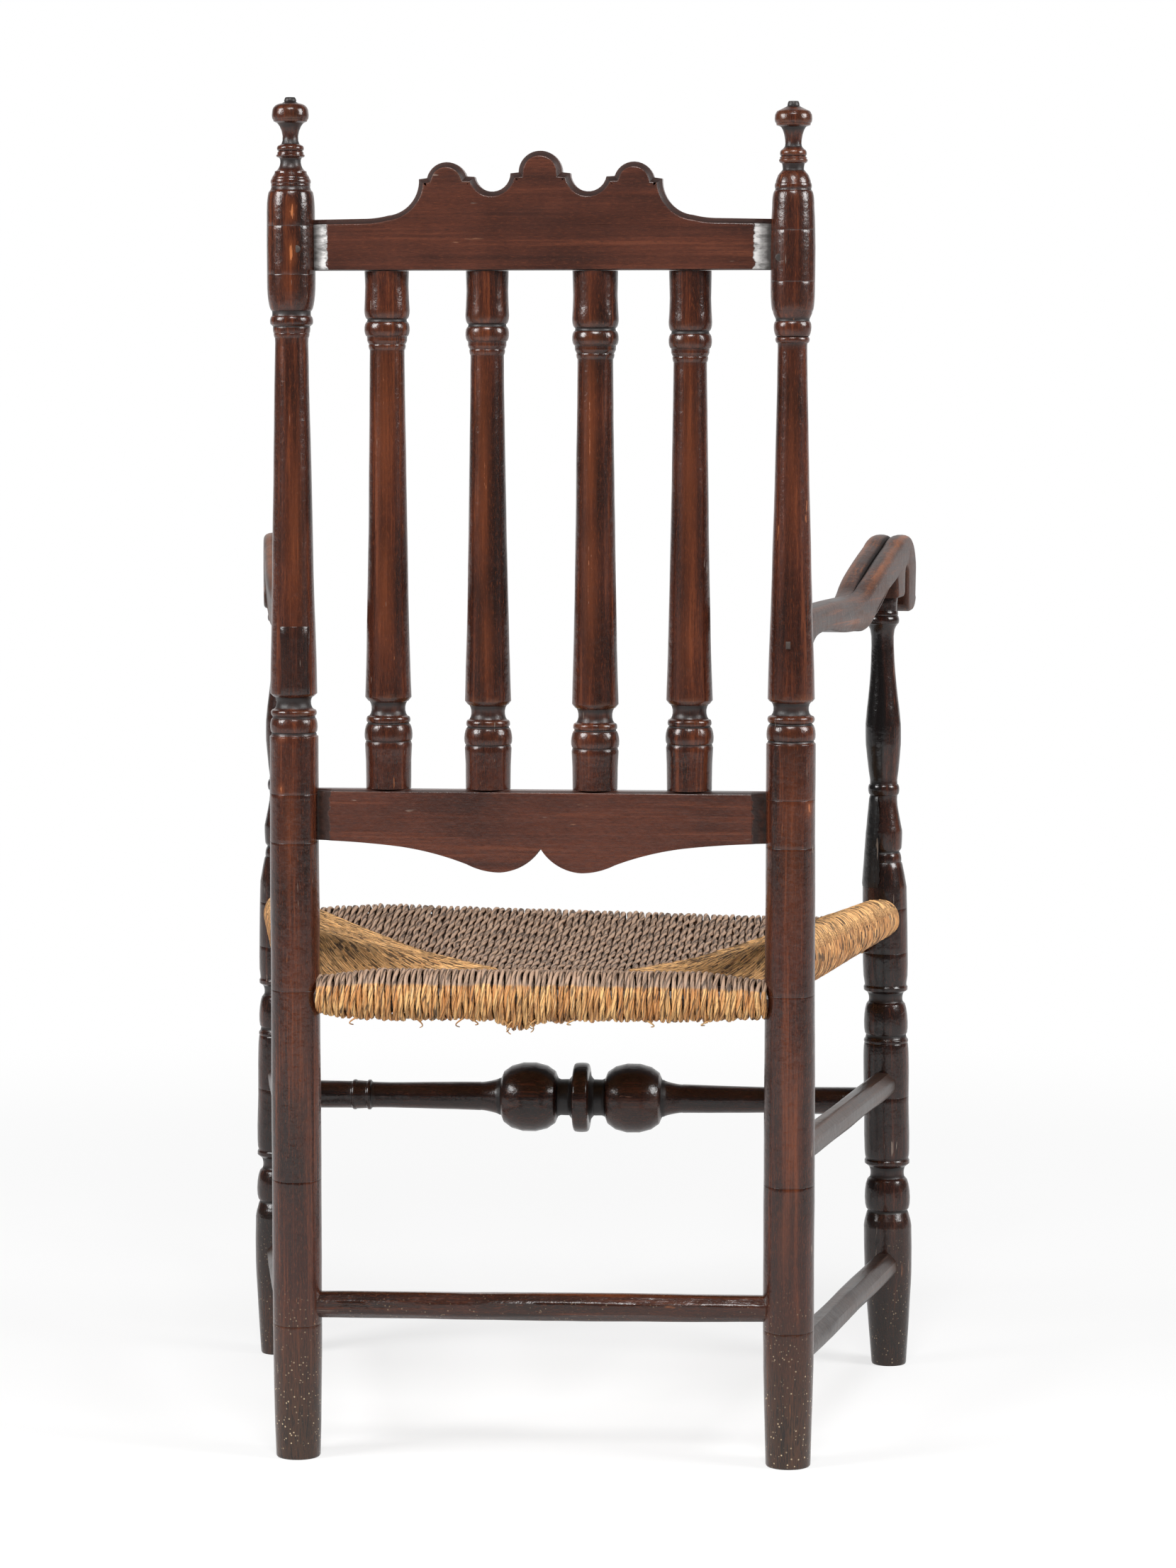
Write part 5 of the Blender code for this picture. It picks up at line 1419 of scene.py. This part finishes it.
def white_surround():
    """A floor that is white to the camera and keeps a soft shadow."""
    finish = Finish("studio_floor", (0.9, 0.9, 0.9, 1))
    seen, through = finish.ray("Is Camera Ray"), finish.ray("Is Transmission Ray")
    matte = finish.node("BsdfDiffuse", {}, {"Color": (0.8, 0.8, 0.8, 1)})
    glow = finish.node("Emission", {}, {"Color": (1, 1, 1, 1), "Strength": 1.0})
    place = finish.place()
    away = finish.node("VectorMath", {"operation": "LENGTH"}, {0: place}, 1)
    lamps = finish.part(place, 1).between(0.75, 1.8)
    share = 0.7 + away.between(0.9, 2.4) * 0.3
    direct = (seen + through + finish.ray("Is Glossy Ray") * (1 - lamps * 0.9)).clamped()
    mixed = finish.node("MixShader", {}, {0: direct * share, 1: matte, 2: glow})
    finish.node("OutputMaterial", {}, {"Surface": mixed})
    mesh = bpy.data.meshes.new("studio_floor")
    corners = [(x * FLOOR_REACH, y * FLOOR_REACH, 0) for x, y in ((-1, -1), (1, -1), (1, 1), (-1, 1))]
    mesh.from_pydata(corners, [], [(0, 1, 2, 3)])
    mesh.materials.append(finish.material)
    floor = added("studio_floor", mesh)


def studio_world():
    """A room that is white to the camera and darker on the side of the lamps."""
    world = bpy.data.worlds.new("studio")
    bpy.context.scene.world = world
    world.use_nodes = True
    nodes = Nodes(world.node_tree)
    facing = nodes.part(nodes.node("TexCoord", {}, {}, "Generated"), 1)
    strength = facing.between(-0.5, -0.85, 0.13, 1.0).maths("MAXIMUM", nodes.ray("Is Camera Ray"))
    sky = nodes.node("Background", {}, {"Color": (1, 1, 1, 1), "Strength": strength})
    nodes.node("OutputWorld", {}, {"Surface": sky})


def softbox(name, place, target, width, height, power):
    lamp = bpy.data.lights.new(name, "AREA")
    lamp.shape = "RECTANGLE"
    lamp.size = width
    lamp.size_y = height
    lamp.energy = power
    holder = added(name, lamp)
    holder.location = place
    holder.rotation_euler = (Vector(target) - Vector(place)).to_track_quat("-Z", "Y").to_euler()


white_surround()
studio_world()
softbox("softbox_left", (2.5, 1.55, 2.2), (0, 0, 0.9), 1.2, 1.4, 105)
softbox("softbox_right", (-2.85, 0.85, 2.2), (0, 0, 0.9), 1.2, 1.4, 100)
softbox("softbox_above", (-0.3, 2.7, 3.6), (0, 0, 0.6), 1.2, 1.0, 95)

# The camera that was fitted to the photograph
YAW = -0.0834
PITCH = 0.0945
CAMERA_PLACE = Vector((-0.3773, REAR_Y * MM + 4.0138, 0.9967))
SENSOR_WIDTH = 36
PHOTO_WIDTH = 1659
FOCAL_PIXELS = 6400
away = Vector((-math.sin(YAW) * math.cos(PITCH), -math.cos(YAW) * math.cos(PITCH), -math.sin(PITCH)))
rightwards = Vector((-math.cos(YAW), math.sin(YAW), 0))
upwards = rightwards.cross(away)
turn = Matrix((rightwards, upwards, -away)).transposed()
lens = bpy.data.cameras.new("camera")
lens.sensor_fit = "HORIZONTAL"
lens.sensor_width = SENSOR_WIDTH
lens.lens = FOCAL_PIXELS / PHOTO_WIDTH * SENSOR_WIDTH
lens.clip_end = 50
camera = added("camera", lens)
camera.matrix_world = Matrix.Translation(CAMERA_PLACE) @ turn.to_4x4()
bpy.context.scene.camera = camera
bpy.context.scene.view_settings.view_transform = "Standard"
